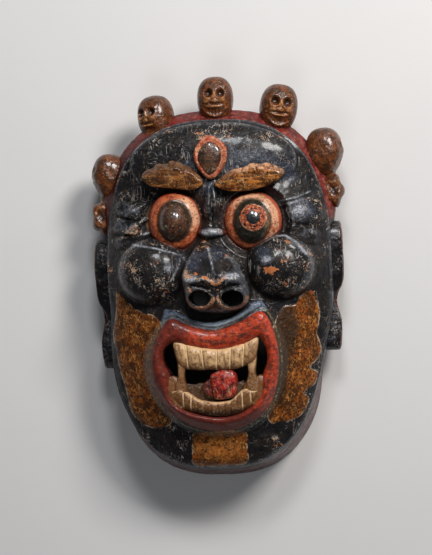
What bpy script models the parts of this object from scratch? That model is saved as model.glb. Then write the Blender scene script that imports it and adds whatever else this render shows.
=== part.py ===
"""A hollow wooden dance mask, lying on its back rim with its face up.

+Z is the way the face looks, +Y is towards the crown and +X is on the right
hand of someone who looks at the face. The mask is one carved block, so it is
one solid. Lengths are in millimetres and become metres as a mesh is made.
"""

import bmesh
import bpy
import numpy as np
from mathutils import Matrix

MM = 0.001

# The outline of the face, an egg with its wide end up
HALF_WIDTH = 112.3
WIDEST_Y = 16.0
CROWN_REACH = 144.5
CHIN_REACH = 205.5
EGG_POWER = 2.62
LEAN = 6.5
LEAN_STARTS = 0.35
LEAN_FULL = 0.8
SLOPE_STEP = 0.01

# The dome that every feature is carved on
EDGE_Z = 64.0
DOME_RISE = 41.0
DOME_SPREAD = 2.3
DOME_STEEP = 0.7

# The side wall, the crown band on its front corner and the flare at the chin
BAND_WIDTH = 10.0
BAND_Z = 52.0
BAND_STARTS = 0.2
BAND_FULL = 0.5
WALL_LEDGE = 1.5
RIM_FLARE = 12.0
FLARE_STARTS = 0.7
FLARE_FULL = 0.92
WALL_THICKNESS = 13.0
SAW_DEPTH = 4.0
SAWN_BLOCK = (600.0, 800.0, 100.0)

# The hollow behind the face
HOLLOW_EDGE_Z = 52.0
HOLLOW_RISE = 35.0
POCKET_MIDDLE = (-1.0, -8.0)
POCKET_RADII = (30.0, 42.0)
POCKET_DEPTH = 26.0
MOUTH_FLOOR_Z = 62.0

# Where the middle of the bounding box lies in the carver's layout
MIDDLE = (-0.7, 1.6, 0.0)

# How fast a swelling falls away outside its edge
CAP_SKIRT = 40.0

# How finely the block is carved and how few triangles are left
CARVING_STEP = 2.2
HOLLOW_STEP = 10.0
VOXEL = 1.5
TRIANGLES = 7700

WOOD = (0.045, 0.05, 0.062, 1.0)


def oval(x, y, centre, radii, turn=0.0):
    """0 in the middle of an ellipse, 1 on its edge; turn is in degrees."""
    angle = np.radians(turn)
    dx = x - centre[0]
    dy = y - centre[1]
    along = dx * np.cos(angle) + dy * np.sin(angle)
    across = dy * np.cos(angle) - dx * np.sin(angle)
    return np.hypot(along / radii[0], across / radii[1])


def cap(x, y, centre, radii, top, depth, turn=0.0, power=2):
    """Height of an ellipsoid, or with a higher power of a flatter loaf, which falls away outside its edge."""
    d = oval(x, y, centre, radii, turn)
    inside = np.sqrt(np.clip(1 - d ** power, 0, 1))
    return top - depth * (1 - inside) - CAP_SKIRT * np.clip(d - 1, 0, None)


def smooth_max(a, b, soft):
    """The higher of two surfaces, with a fillet where they meet."""
    share = np.clip(0.5 + 0.5 * (a - b) / soft, 0, 1)
    return b + (a - b) * share + soft * share * (1 - share)


def bell(value):
    """1 at 0 and fading on both sides."""
    return np.exp(-np.square(value))


def ease(value, low, high):
    """0 below low and 1 above high, with a smooth step between them."""
    share = np.clip((value - low) / (high - low), 0, 1)
    return share * share * (3 - 2 * share)


def smooth_loop(points, steps=8):
    """A closed Catmull-Rom curve through the points."""
    here = np.asarray(points, float)
    before = np.roll(here, 1, 0)[:, None]
    after = np.roll(here, -1, 0)[:, None]
    beyond = np.roll(here, -2, 0)[:, None]
    here = here[:, None]
    t = np.linspace(0, 1, steps, endpoint=False)[None, :, None]
    curve = 2 * here + (after - before) * t
    curve = curve + (2 * before - 5 * here + 4 * after - beyond) * t ** 2
    curve = curve + (3 * here - before - 3 * after + beyond) * t ** 3
    return (curve / 2).reshape(-1, 2)


def path_distance(x, y, path):
    """Distance from each place to the nearest point of a line through the path."""
    best = np.full(np.shape(x), np.inf)
    for (ax, ay), (bx, by) in zip(path[:-1], path[1:]):
        run = (bx - ax, by - ay)
        t = ((x - ax) * run[0] + (y - ay) * run[1]) / (run[0] ** 2 + run[1] ** 2)
        t = np.clip(t, 0, 1)
        best = np.minimum(best, np.hypot(x - ax - t * run[0], y - ay - t * run[1]))
    return best


def depth_inside(x, y, loop):
    """Distance to a closed loop, positive inside it and negative outside."""
    closed = np.vstack([loop, loop[:1]])
    odd = np.zeros(np.shape(x), bool)
    for (ax, ay), (bx, by) in zip(closed[:-1], closed[1:]):
        if ay == by:
            continue
        crosses = (ay > y) != (by > y)
        odd ^= crosses & (x < ax + (y - ay) * (bx - ax) / (by - ay))
    away = path_distance(x, y, closed)
    return np.where(odd, away, -away)


def even_egg(angle, wider=0.0):
    """Distance from the middle of an even egg to its outline in one direction."""
    up = np.where(np.sin(angle) > 0, CROWN_REACH, CHIN_REACH) + wider
    across = np.abs(np.cos(angle)) / (HALF_WIDTH + wider)
    along = np.abs(np.sin(angle)) / up
    return (across ** EGG_POWER + along ** EGG_POWER) ** (-1 / EGG_POWER)


def egg_reach(angle, wider=0.0):
    """The even egg with its chin moved to one side, as the carver cut it."""
    reach = even_egg(angle, wider)
    step = 2 * SLOPE_STEP * reach
    slope = (even_egg(angle + SLOPE_STEP, wider) - even_egg(angle - SLOPE_STEP, wider)) / step
    lean = LEAN * ease(-np.sin(angle), LEAN_STARTS, LEAN_FULL)
    return reach - lean * (np.cos(angle) + slope * np.sin(angle))


def egg_share(x, y, inset=0.0):
    """0 in the middle of the egg, 1 on its outline."""
    angle = np.arctan2(y - WIDEST_Y, x)
    return np.hypot(x, y - WIDEST_Y) / egg_reach(angle, -inset)


def dome(x, y):
    share = np.clip(egg_share(x, y), 0, 1)
    return EDGE_Z + DOME_RISE * (1 - share ** DOME_SPREAD) ** DOME_STEEP


# Eyes: middle, radii of the lid ring, radii of the ball
EYES = (
    ((-40.5, 59.5), (27.5, 31.0), (17.5, 21.5)),
    ((36.3, 57.0), (30.0, 31.0), (19.5, 23.0)),
)
SOCKET_OUT = 1.06
SOCKET_RADII = (37.0, 37.0)
SOCKET_DEPTH = 13.0
LID_TOP_Z = 108.0
LID_DEPTH = 22.0
LID_SQUARE = 5
BALL_TOP_Z = 121.0
BALL_DEPTH = 24.0

# Swellings: middle, radii, height of the top, depth of the cap, fillet, turn in degrees
FOREHEAD = ((-2, 118), (84, 40), 99, 20, 8, 0)
CHEEKS = (((-63, 11), (37, 35), 119, 32, 4, 0), ((61, 12), (36, 34), 121, 32, 3, 0))
BRIDGE = ((-3.5, 76), (12, 30), 108, 24, 2, 0)
CROSS_ROLL = ((-4, 47), (13.5, 6), 112, 12, 1.2, 0)

# Folds of the temples: middle, radii, how far each is raised, turn in degrees
FOLDS = (
    ((88, 66), (20, 14), 4.5, 12),
    ((85, 42), (17, 9), 3.6, -14),
    ((-88, 72), (16, 8), 3.4, -24),
    ((-91, 56), (15, 8), 3.6, -14),
    ((-88, 40), (16, 7), 3.2, -4),
)
FOLD_EDGE = (0.72, 1.08)

# Ridges that part the folds: path, width, how far each is raised
CREASES = (
    (((62, 71), (80, 76), (97, 82)), 2.2, 2.2),
    (((70, 36), (81, 29), (92, 21)), 2.2, 1.5),
    (((-72, 76), (-86, 70), (-98, 58)), 2.0, 1.5),
    (((-70, 62), (-84, 56), (-97, 44)), 2.0, 1.5),
    (((-66, 44), (-80, 38), (-95, 30)), 2.2, 1.6),
)


def swell(x, y, z, form):
    """Raises a surface to one of the swellings."""
    centre, radii, top, depth, fillet, turn = form
    return smooth_max(z, cap(x, y, centre, radii, top, depth, turn), fillet)


def fold(x, y, z, form):
    """Raises a squarish patch evenly over a surface."""
    centre, radii, raised, turn = form
    angle = np.radians(turn)
    along = ((x - centre[0]) * np.cos(angle) + (y - centre[1]) * np.sin(angle)) / radii[0]
    across = ((y - centre[1]) * np.cos(angle) - (x - centre[0]) * np.sin(angle)) / radii[1]
    return z + raised * (1 - ease((along ** 4 + across ** 4) ** 0.25, *FOLD_EDGE))


def carve_upper_face(x, y, z):
    """Sockets, folds of the temples, forehead, cheeks and eyes."""
    for (cx, cy), _, _ in EYES:
        hole = np.clip(1 - oval(x, y, (cx * SOCKET_OUT, cy), SOCKET_RADII) ** 2, 0, 1)
        z = z - SOCKET_DEPTH * hole ** 0.8
    for form in FOLDS:
        z = fold(x, y, z, form)
    for form in (FOREHEAD, *CHEEKS):
        z = swell(x, y, z, form)
    for path, width, raised in CREASES:
        z = z + raised * bell(path_distance(x, y, path) / width)
    for centre, lid, ball in EYES:
        z = smooth_max(z, cap(x, y, centre, lid, LID_TOP_Z, LID_DEPTH, power=LID_SQUARE), 1.5)
        z = smooth_max(z, cap(x, y, centre, ball, BALL_TOP_Z, BALL_DEPTH), 0.8)
    return z


# The nose: its outline, then from row to row its height, the width of its round edge and its ridge
NOSE = smooth_loop([
    (-21, 33.5), (-9, 35.5), (2.4, 35), (8.4, 30.4), (14.5, 25.3), (22, 18.5), (26, 9), (29.4, 1.6),
    (32.4, -8.5), (32.8, -16.5), (30.3, -23.5), (25.2, -28), (17.8, -31.4), (8, -34.1), (-1.8, -34.4),
    (-10.3, -33.8), (-18.5, -32), (-27, -26.5), (-31, -20), (-32.6, -12), (-33.9, -3.5), (-34.8, 5.1),
    (-32.7, 12.9), (-30, 20.8), (-25.4, 28)], 3)
NOSE_Y = (-36.0, -31.0, -22.0, -10.0, 0.0, 9.0, 20.0, 35.0)
NOSE_TOP = (114.0, 125.0, 136.0, 142.0, 143.5, 139.0, 128.0, 111.0)
NOSE_EDGE = (9.0, 9.0, 8.7, 8.3, 8.0, 5.8, 4.6, 4.0)
NOSE_RIDGE = (0.5, 0.5, 0.5, 0.5, 0.5, -1.2, -4.2, -7.5)
NOSE_FLOOR_Z = 97.0
NOSE_SLOPE = (0.06, 0.3)
NOSE_BACK_Y = (2.0, 14.0)
NOSE_ROUND = 2.6

# The round lobes on the tip, the grooves over the wings and the nostrils with their rims
LOBES = (((-17, 1.5), (13, 6.0)), ((14.5, 1.5), (13, 6.0)))
LOBE_RAISED = 3.4
WINGS = (((-31, -5.5), (-23, -4), (-13.3, -6.2), (-5, -9)), ((6, -10), (14.6, -6.6), (24.3, -5.2), (31, -6.5)))
WING_WIDTH = 1.7
WING_CUT = 2.6
NOSTRILS = (((-16.0, -16.8), (10.8, 7.6)), ((16.0, -18.0), (10.8, 8.0)))
NOSTRIL_RIM = 1.26
NOSTRIL_RIM_WIDTH = 0.16
NOSTRIL_RAISED = 2.2


def carve_nose(x, y, z):
    """A bridge with a cross roll, then a broad nose: a roof over its outline with a round edge."""
    z = swell(x, y, swell(x, y, z, BRIDGE), CROSS_ROLL)
    slope = NOSE_SLOPE[0] + (NOSE_SLOPE[1] - NOSE_SLOPE[0]) * ease(y, *NOSE_BACK_Y)
    top = np.interp(y, NOSE_Y, NOSE_TOP) - slope * np.abs(x - np.interp(y, NOSE_Y, NOSE_RIDGE))
    for lobe in LOBES:
        top = top + LOBE_RAISED * bell(oval(x, y, *lobe))
    for path in WINGS:
        top = top - WING_CUT * bell(path_distance(x, y, path) / WING_WIDTH)
    for nostril in NOSTRILS:
        top = top + NOSTRIL_RAISED * bell((oval(x, y, *nostril) - NOSTRIL_RIM) / NOSTRIL_RIM_WIDTH)
    inside = depth_inside(x, y, NOSE)
    edge = np.clip(inside / np.interp(y, NOSE_Y, NOSE_EDGE), 0, 1)
    arch = NOSE_FLOOR_Z + (top - NOSE_FLOOR_Z) * np.sqrt(1 - (1 - edge) ** NOSE_ROUND)
    return smooth_max(z, np.where(inside > 0, arch, 0.0), 1.6)


# The swelling of the muzzle and the chin, which fades out at the edge of the face
MUZZLE = ((-5, -92), (88, 84))
MUZZLE_RAISED = 7.0
MUZZLE_EDGE = (0.35, 1.15)
CHIN = ((-4, -166), (64, 32), 84, 12)
CHIN_FILLET = 6.0
CHIN_FADE = 24

# The moustache over the upper lip
TACHE = np.array([
    (-53, -27), (-46, -28.5), (-33.6, -34), (-25, -39), (-15.4, -41.2), (-5.5, -41.3), (12, -38),
    (24.3, -30), (32, -22.5), (43, -22), (49, -31), (41.3, -32), (29, -37), (16.4, -42.7),
    (-2.2, -48.8), (-17, -48), (-34, -41.6), (-46, -38), (-56, -46), (-61, -51)])
TACHE_RAISED = 4.2
TACHE_EDGE = (-2.0, 2.6)

# The lips: a broad ring around the open mouth
LIP_OUTER = smooth_loop([
    (-47, -36.5), (-60, -52), (-68, -75), (-67, -100), (-58, -122), (-38, -140), (-12, -148.5),
    (15, -147.5), (38, -135), (52, -114), (58, -85), (55, -55), (43, -32), (20, -41.8),
    (-4, -48.6), (-26, -44.5)])
LIP_INNER = smooth_loop([
    (-46, -60), (-54.5, -66), (-56.5, -75), (-54, -84), (-49.8, -91.5), (-49, -100), (-50, -110),
    (-46, -119), (-37, -125), (-25, -129), (-14, -131.5), (-0.6, -133), (14, -131.3), (25, -126.5),
    (34, -119.5), (39, -110.5), (39.4, -101), (40.8, -94.5), (45.5, -84), (46.5, -73), (43.2, -62.5),
    (38.5, -57), (32, -60.5), (25, -64), (16.4, -66.5), (8, -68.5), (-0.6, -69.5), (-11.8, -68.5),
    (-21.6, -66.7), (-31, -64), (-39.7, -61)], 3)
LIP_TOP_Z = 113.0
LIP_ROLL = 6.0
LOWER_LIP_ROLL = 6.0
LOWER_LIP_Y = (70.0, 125.0)
LOWER_LIP_SKEW = 0.8
LIP_MIDDLE_Y = -95.0
LIP_LEAN = 0.05
LIP_SIDE = 1.6


def carve_mouth(x, y, z):
    """The muzzle, the chin, the moustache and the ring of the lips."""
    z = z + MUZZLE_RAISED * (1 - ease(oval(x, y, *MUZZLE), *MUZZLE_EDGE))
    fade = (1 - np.clip(egg_share(x, y), 0, 1) ** CHIN_FADE) ** 0.6
    z = smooth_max(z, EDGE_Z + (cap(x, y, *CHIN) - EDGE_Z) * fade, CHIN_FILLET)
    z = z + TACHE_RAISED * ease(depth_inside(x, y, TACHE), *TACHE_EDGE)
    outer = depth_inside(x, y, LIP_OUTER)
    inner = depth_inside(x, y, LIP_INNER)
    share = np.clip(outer / np.maximum(outer - inner, 0.001), 0.02, 1)
    below = ease(-y, *LOWER_LIP_Y)
    crest = LIP_TOP_Z + LIP_LEAN * (y - LIP_MIDDLE_Y)
    roll = LIP_ROLL + LOWER_LIP_ROLL * below
    ring = crest - roll * (1 - np.sin(np.pi * share ** (1 + LOWER_LIP_SKEW * below)) ** 0.6)
    ring = np.where(outer < 0, crest - roll + LIP_SIDE * outer, ring)
    return smooth_max(z, ring, 2)


def face_height(x, y):
    """The front of the mask, with the mouth and the nostrils sunk deep into it."""
    z = carve_mouth(x, y, carve_nose(x, y, carve_upper_face(x, y, dome(x, y))))
    z = np.where(depth_inside(x, y, LIP_INNER) > 0, MOUTH_FLOOR_Z, z)
    for centre, radii in NOSTRILS:
        z = np.where(oval(x, y, centre, radii) < 1, MOUTH_FLOOR_Z, z)
    return z


def hollow_height(x, y):
    """The inside: a plain dome with a pocket behind the nose."""
    share = np.clip(egg_share(x, y, WALL_THICKNESS), 0, 1)
    z = HOLLOW_EDGE_Z + HOLLOW_RISE * (1 - share ** DOME_SPREAD) ** DOME_STEEP
    pocket = np.clip(1 - oval(x, y, POCKET_MIDDLE, POCKET_RADII) ** 2, 0, 1)
    return z + POCKET_DEPTH * pocket ** 1.5


def set_places(bm, x, y, z):
    for vert, *place in zip(bm.verts, x, y, z):
        vert.co = [value * MM for value in place]


def squared_circle(bm):
    """Moves a square grid's corners in, so that its edge is a circle of radius 1."""
    u = np.array([vert.co.x for vert in bm.verts])
    v = np.array([vert.co.y for vert in bm.verts])
    across = u * np.sqrt(1 - v * v / 2)
    along = v * np.sqrt(1 - u * u / 2)
    return np.arctan2(along, across), np.clip(np.hypot(across, along), 0, 1)


def push_down(bm, places):
    """Carries the open edge of a surface down through a list of (reach, z) rings, then closes it."""
    for reach, z in places:
        edges = [edge for edge in bm.edges if edge.is_boundary]
        made = bmesh.ops.extrude_edge_only(bm, edges=edges)["geom"]
        verts = [item for item in made if isinstance(item, bmesh.types.BMVert)]
        angles = np.array([np.arctan2(vert.co.y / MM - WIDEST_Y, vert.co.x / MM) for vert in verts])
        for vert, angle, distance in zip(verts, angles, reach(angles)):
            vert.co.x = distance * np.cos(angle) * MM
            vert.co.y = (WIDEST_Y + distance * np.sin(angle)) * MM
            vert.co.z = z * MM
    bmesh.ops.holes_fill(bm, edges=[edge for edge in bm.edges if edge.is_boundary])
    bmesh.ops.recalc_face_normals(bm, faces=bm.faces)


def crown_share(angle):
    """1 around the crown, fading to 0 where the ears begin."""
    return ease(np.sin(angle), BAND_STARTS, BAND_FULL)


def band_reach(angle):
    return egg_reach(angle) + BAND_WIDTH * crown_share(angle) + WALL_LEDGE


def rim_reach(angle):
    return band_reach(angle) + RIM_FLARE * ease(-np.sin(angle), FLARE_STARTS, FLARE_FULL)


def hollow_reach(angle):
    return rim_reach(angle) - WALL_THICKNESS


def block(height, inset, step, wall):
    """A domed block over the egg: a grid lifted to a height, with a wall down from its edge."""
    bm = bmesh.new()
    across = round(2 * HALF_WIDTH / step)
    along = round((CROWN_REACH + CHIN_REACH) / step)
    bmesh.ops.create_grid(bm, x_segments=across, y_segments=along, size=1)
    angle, share = squared_circle(bm)
    reach = share * egg_reach(angle, -inset)
    x = reach * np.cos(angle)
    y = WIDEST_Y + reach * np.sin(angle)
    set_places(bm, x, y, height(x, y))
    push_down(bm, wall)
    return bm


def close_below(bm, bottom):
    """Makes a sheet into a closed cushion with a flat underside."""
    made = bmesh.ops.extrude_face_region(bm, geom=bm.faces[:])["geom"]
    for vert in made:
        if isinstance(vert, bmesh.types.BMVert):
            vert.co.z = bottom * MM
    bmesh.ops.recalc_face_normals(bm, faces=bm.faces)


def pillow(outline, top, bottom, steps=(14, 14)):
    """A closed cushion over an outline that is round about its own middle."""
    middle = outline.mean(0)
    turned = outline - middle
    angles = np.arctan2(turned[:, 1], turned[:, 0])
    order = np.argsort(angles)
    reaches = np.hypot(turned[:, 0], turned[:, 1])[order]
    bm = bmesh.new()
    bmesh.ops.create_grid(bm, x_segments=steps[0], y_segments=steps[1], size=1)
    angle, share = squared_circle(bm)
    reach = share * np.interp(angle, angles[order], reaches, period=2 * np.pi)
    x = middle[0] + reach * np.cos(angle)
    y = middle[1] + reach * np.sin(angle)
    set_places(bm, x, y, top(x, y, share))
    close_below(bm, bottom)
    return bm


def domed(z, drop, power):
    """A cushion's height: z in the middle, lower by drop at its edge."""
    return lambda x, y, share: z - drop * share ** power


# The brows: outline, height of the top and the edge between the broad side and the chamfer
BROWS = (
    (((-71, 103), (-68, 110), (-60, 113), (-56, 117), (-47, 116.5), (-42, 119.5), (-34, 118), (-29, 115),
      (-22, 111.5), (-11, 99), (-13, 92), (-22, 89.5), (-36, 91), (-52, 93), (-63, 95)),
     111, (-69, -52, -36, -22, -12), (103, 110, 111, 106, 97)),
    (((0, 94), (8, 101.5), (18, 108), (30, 110.5), (37, 114), (47, 113), (53, 114), (62, 110.5), (70, 105),
      (66, 98), (57, 93), (45, 89), (30, 86.5), (12, 87.5)),
     112, (1, 18, 42, 58, 69), (93, 103, 108, 106, 101)),
)
BROW_DROP = 5.0
BROW_RAISED = 2.0
BROW_TIP = 0.16
BROW_CHAMFER = 0.7

# Cushions of the third eye: outline, height of the top, drop to the edge, how square the section is
THIRD_EYE = (
    (((-2.5, 143), (11, 134), (13.5, 121), (7, 107), (-3, 100), (-12, 107), (-18, 121), (-14, 135)),
     106, 5, 4),
    (((-3.5, 137), (6, 131), (8, 120), (3, 109), (-4, 103.5), (-10, 109), (-15.5, 120), (-12, 131)),
     109, 5, 2),
)
BROW_BACK_Z = 84.0


def brow_top(top, edge_x, edge_y):
    """A broad side that tips forward to an edge, then a chamfer that falls away above it."""
    def height(x, y, share):
        above = y - np.interp(x, edge_x, edge_y)
        side = BROW_TIP * np.clip(-above, 0, 30) + BROW_CHAMFER * np.clip(above, 0, 12)
        return top + BROW_RAISED - side - BROW_DROP * share ** 4

    return height


# Cushions in the mouth: the jaw's floor and its two corners, then the tongue and its lobe
JAW = (
    (((-38, -101), (-29, -103), (-20, -101), (-8, -104), (14, -102), (20, -102), (26, -99), (28, -112),
      (16, -124), (-5, -126), (-26, -122), (-38, -113)), 103, 3, 3),
    (((-34, -104), (-37, -99.5), (-40, -96), (-44, -94), (-48, -93), (-53, -96), (-54, -106), (-52, -116),
      (-44, -125), (-36, -125), (-33, -116)), 110, 4, 3),
    (((22, -106), (26, -99), (30, -95.5), (34, -96.5), (39, -94.5), (43, -97), (43, -106), (40, -115),
      (32, -124), (25, -120), (22, -113)), 110, 4, 3),
)
TONGUE = (
    (((-10, -94), (-4, -90), (2, -88.3), (9, -88.3), (13.5, -90), (16, -95), (16, -105), (13.5, -114),
      (4, -117), (-6, -116), (-9, -105)), 116, 8, 3.4),
    (((-18, -103), (-13, -98), (-8, -97), (-5, -105), (-6, -113), (-12, -114), (-17.5, -109)), 109, 4, 3.4),
)
TEETH_BACK_Z = 95.0
TONGUE_BACK_Z = 93.0

# Rows between two edges: upper edge, lower edge, height of the top, bow, drop to the edge, lean
UPPER_TEETH = (
    ((-47.5, -56.5), (-39.7, -59), (-31, -62), (-21.6, -64.5), (-11.8, -66.5), (-0.6, -67.5), (8, -66.5),
     (16.4, -64.5), (25, -62), (32, -58.5), (40.5, -52.5)),
    ((-41, -87), (-26.7, -87.4), (-9.8, -87.8), (4.2, -88.6), (21, -86.8), (33.8, -86)),
    116, 4.5, 2.5, 0.0)
LOWER_TEETH = (
    ((-48, -107), (-42, -104.5), (-36, -107), (-29, -112), (-22, -116.7), (-13.6, -118.8), (-2.4, -119.4),
     (8.9, -118), (14.7, -113.5), (20.5, -108.5), (26, -106.5), (31, -108.5), (38, -107)),
    ((-52, -116), (-46, -121), (-38, -126), (-25.8, -130), (-14.6, -133), (-0.6, -134.5), (13.6, -132.6),
     (25, -127.5), (34, -120.5), (40, -112)),
    114, 2.5, 5.0, 2.0)
FANGS = (
    (((-33.6, -78), (-35.2, -86), (-36.2, -92), (-35.8, -98), (-34, -105), (-33, -119)),
     ((-43.6, -74), (-42, -83), (-41.6, -90), (-43, -96.5), (-46.5, -104), (-49, -119)),
     111.5, 0.0, 4.0, 0.0),
    (((37.2, -73), (35.2, -83), (34, -90), (35, -96), (38.4, -103), (40, -118)),
     ((26, -77), (27.2, -85), (27.8, -91), (26.6, -97), (24, -104), (23, -118)),
     111.5, 0.0, 4.0, 0.0),
)
ROW_MIDDLE_X = -4.0
HALF_ROW = 46.0
UPPER_GAPS = (-32.0, -17.0, -2.8, 10.7, 23.5)
LOWER_GAPS = (-37.0, -23.0, -10.0, 3.0, 15.0, 29.0)
GAP_WIDTH = 1.5
GAP_DEPTH = 2.6


def place_along(path, share):
    """The place at a share of a path's length."""
    points = np.asarray(path, float)
    length = np.concatenate([[0], np.cumsum(np.hypot(*np.diff(points, axis=0).T))])
    return [np.interp(share * length[-1], length, points[:, axis]) for axis in (0, 1)]


def row(form, back, gaps=(), steps=(20, 8)):
    """A closed loaf between two edges, bowed from side to side and parted by narrow grooves."""
    upper, lower, top, bow, drop, lean = form
    bm = bmesh.new()
    bmesh.ops.create_grid(bm, x_segments=steps[0], y_segments=steps[1], size=1)
    u = np.array([vert.co.x for vert in bm.verts])
    v = np.array([vert.co.y for vert in bm.verts])
    high_x, high_y = place_along(upper, (u + 1) / 2)
    low_x, low_y = place_along(lower, (u + 1) / 2)
    x = low_x + (high_x - low_x) * (v + 1) / 2
    y = low_y + (high_y - low_y) * (v + 1) / 2
    z = top - bow * ((x - ROW_MIDDLE_X) / HALF_ROW) ** 2 + lean * v
    z = z - drop * np.maximum(np.abs(u) ** 8, np.abs(v) ** 4)
    for gap in gaps:
        z = z - GAP_DEPTH * bell((x - gap) / GAP_WIDTH)
    set_places(bm, x, y, z)
    close_below(bm, back)
    return bm


def cushion(form, back, steps=(14, 14)):
    outline, top, drop, power = form
    return pillow(smooth_loop(outline), domed(top, drop, power), back, steps)


def mouth_pieces():
    yield row(UPPER_TEETH, TEETH_BACK_Z, UPPER_GAPS, (60, 10))
    yield row(LOWER_TEETH, TEETH_BACK_Z, LOWER_GAPS, (60, 8))
    for form in FANGS:
        yield row(form, TEETH_BACK_Z)
    for form in JAW:
        yield cushion(form, TEETH_BACK_Z)
    for form in TONGUE:
        yield cushion(form, TONGUE_BACK_Z)


def brow_pieces():
    for outline, *form in BROWS:
        yield pillow(smooth_loop(outline), brow_top(*form), BROW_BACK_Z, (30, 16))
    for form in THIRD_EYE:
        yield cushion(form, BROW_BACK_Z)


def shaped_ball(shape, rings=28):
    """A ball whose points are moved by shape(x, y, z), which takes and gives unit lengths."""
    bm = bmesh.new()
    bmesh.ops.create_uvsphere(bm, u_segments=rings + 8, v_segments=rings, radius=1)
    points = np.array([vert.co[:] for vert in bm.verts])
    set_places(bm, *shape(*points.T))
    return bm


SKULL_WIDTH = 35.5
SKULL_HEIGHT = 47.0
SKULL_DEPTH = 34.0
SKULL_SQUARE = 2.5
JAW_STARTS = 1.4
JAW_NARROWER = 0.2
JAW_FLATTER = (0.15, 0.75)
NAPE_FLATTER = (0.45, 0.65)

# Marks on a skull's face: middle, radii, how far it is raised
SKULL_MARKS = (
    ((-5.9, 6.6), (3.6, 3.8), -6.5),
    ((5.9, 6.4), (3.6, 3.8), -6.5),
    ((-8.4, -1.0), (3.6, 2.6), 1.8),
    ((8.4, -1.0), (3.6, 2.6), 1.8),
    ((0.0, 2.0), (2.0, 4.0), 1.6),
    ((0.0, -6.8), (10.0, 1.7), 2.4),
    ((0.0, -11.2), (9.0, 2.2), -2.4),
    ((0.0, -16.0), (9.0, 1.7), 2.2),
)


def skull_shape(marked):
    """Looks along +Z with its crown at +Y: a round cranium over a narrower jaw and nape."""
    front_flatter = np.interp(marked, (1, 0), JAW_FLATTER)
    nape_flatter = np.interp(marked, (1, 0), NAPE_FLATTER)

    def shape(x, y, z):
        powers = [np.abs(value) ** SKULL_SQUARE for value in (x, y, z)]
        fuller = sum(powers) ** (-1 / SKULL_SQUARE)
        jaw = np.clip(-y, 0, 1) ** JAW_STARTS
        flatter = np.where(z > 0, front_flatter, nape_flatter)
        wide = SKULL_WIDTH / 2 * x * fuller * (1 - JAW_NARROWER * jaw)
        tall = SKULL_HEIGHT / 2 * y * fuller
        deep = SKULL_DEPTH / 2 * z * fuller * (1 - flatter * jaw)
        front = marked * np.clip(z, 0, 1) ** 0.5
        for middle, radii, raised in SKULL_MARKS:
            deep = deep + raised * front * bell(oval(wide, tall, middle, radii))
        return wide, tall, deep

    return shape


# The skulls: place of the middle, size against the first, tilt, way it looks, how deeply it is marked
SKULLS = (
    ((0.6, 181.3, 52.0), 1.03, 0, 0, 1.0),
    ((63.8, 170.4, 50.0), 1.07, 9, 10, 1.0),
    ((-60.2, 165.6, 50.0), 1.0, -6, -32, 1.0),
    ((109.3, 125.0, 50.0), 1.06, -6, 75, 0.3),
    ((-111.0, 108.5, 46.0), 1.0, 6, -75, 0.3),
)


def skull_pieces():
    for place, size, tilt, turn, marked in SKULLS:
        bm = shaped_ball(skull_shape(marked))
        move = Matrix.Translation([value * MM for value in place])
        lean = Matrix.Rotation(np.radians(-tilt), 4, "Z")
        look = Matrix.Rotation(np.radians(turn), 4, "Y")
        bmesh.ops.transform(bm, matrix=move @ lean @ look @ Matrix.Scale(size, 4), verts=bm.verts)
        yield bm
        yield side_foot(place) if marked < 1 else skull_foot(place)


# The stub of wood under each skull of the crown: how far in and down it sits, its radii
FOOT_INWARDS = 17.0
FOOT_LOWER = 6.0
FOOT_RADII = (12.0, 14.0, 15.0)

# The thinner stub under a side skull, towards the knob at the end of the band
SIDE_FOOT_OUT = 1.03
SIDE_FOOT_ALONG = 22.0
SIDE_FOOT_RADII = (7.0, 12.0, 13.0)


def stub(middle, radii):
    def shape(*unit):
        return [at + radius * value for at, radius, value in zip(middle, radii, unit)]

    return shaped_ball(shape, 12)


def skull_foot(place):
    """A stub of wood from a skull down into the crown band."""
    x, y, z = place
    inwards = 1 - FOOT_INWARDS / np.hypot(x, y - WIDEST_Y)
    middle = (x * inwards, WIDEST_Y + (y - WIDEST_Y) * inwards, z - FOOT_LOWER)
    return stub(middle, FOOT_RADII)


def side_foot(place):
    """A stub of wood from a side skull along the band to the knob below it."""
    x, y, z = place
    return stub((x * SIDE_FOOT_OUT, y - SIDE_FOOT_ALONG, z - FOOT_LOWER), SIDE_FOOT_RADII)


# The knobs that end the crown band: place, radii
ROSETTES = (((117.0, 86.0, 50.0), (10, 16, 14)), ((-118.5, 68.0, 46.0), (12, 17, 14)))
PETALS = 5
PETAL_BULGE = 0.1
ROSETTE_PIT = 5.0
ROSETTE_PIT_SHARE = 0.35


def rosette_pieces():
    for (px, py, pz), (rx, ry, rz) in ROSETTES:
        def shape(x, y, z):
            petals = 1 + PETAL_BULGE * np.cos(PETALS * np.arctan2(y, x))
            pit = ROSETTE_PIT * bell(np.hypot(x, y) / ROSETTE_PIT_SHARE) * (z > 0)
            return px + rx * x * petals, py + ry * y * petals, pz + rz * z - pit
        yield shaped_ball(shape, 16)


# The ears, drawn on the side wall as (y, z): the side, how far down it sits, how far it stands out
EARS = ((1, 0.0, 16.0), (-1, -11.5, 20.0))
EAR_OUTLINE = smooth_loop([
    (56, 40), (50, 24), (28, 13), (2, 16), (-20, 25), (-42, 23), (-66, 25), (-75, 36), (-64, 46),
    (-42, 44), (-18, 42), (6, 50), (32, 57), (50, 53)])
EAR_ROOT = 8.0
EAR_OVERLAP = 3.0
WAIST_Y = -22.0
WAIST_WIDTH = 14.0
WAIST_DROP = 7.0
BOWL_MIDDLE = (24.0, 35.0)
BOWL_RADII = (24.0, 13.0)
BOWL_DROP = 8.0
LOBE_STARTS_Y = -10.0
LOBE_RUN = 20.0
LOBE_DROP = 4.0
EAR_EDGE_DROP = 8.0


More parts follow.
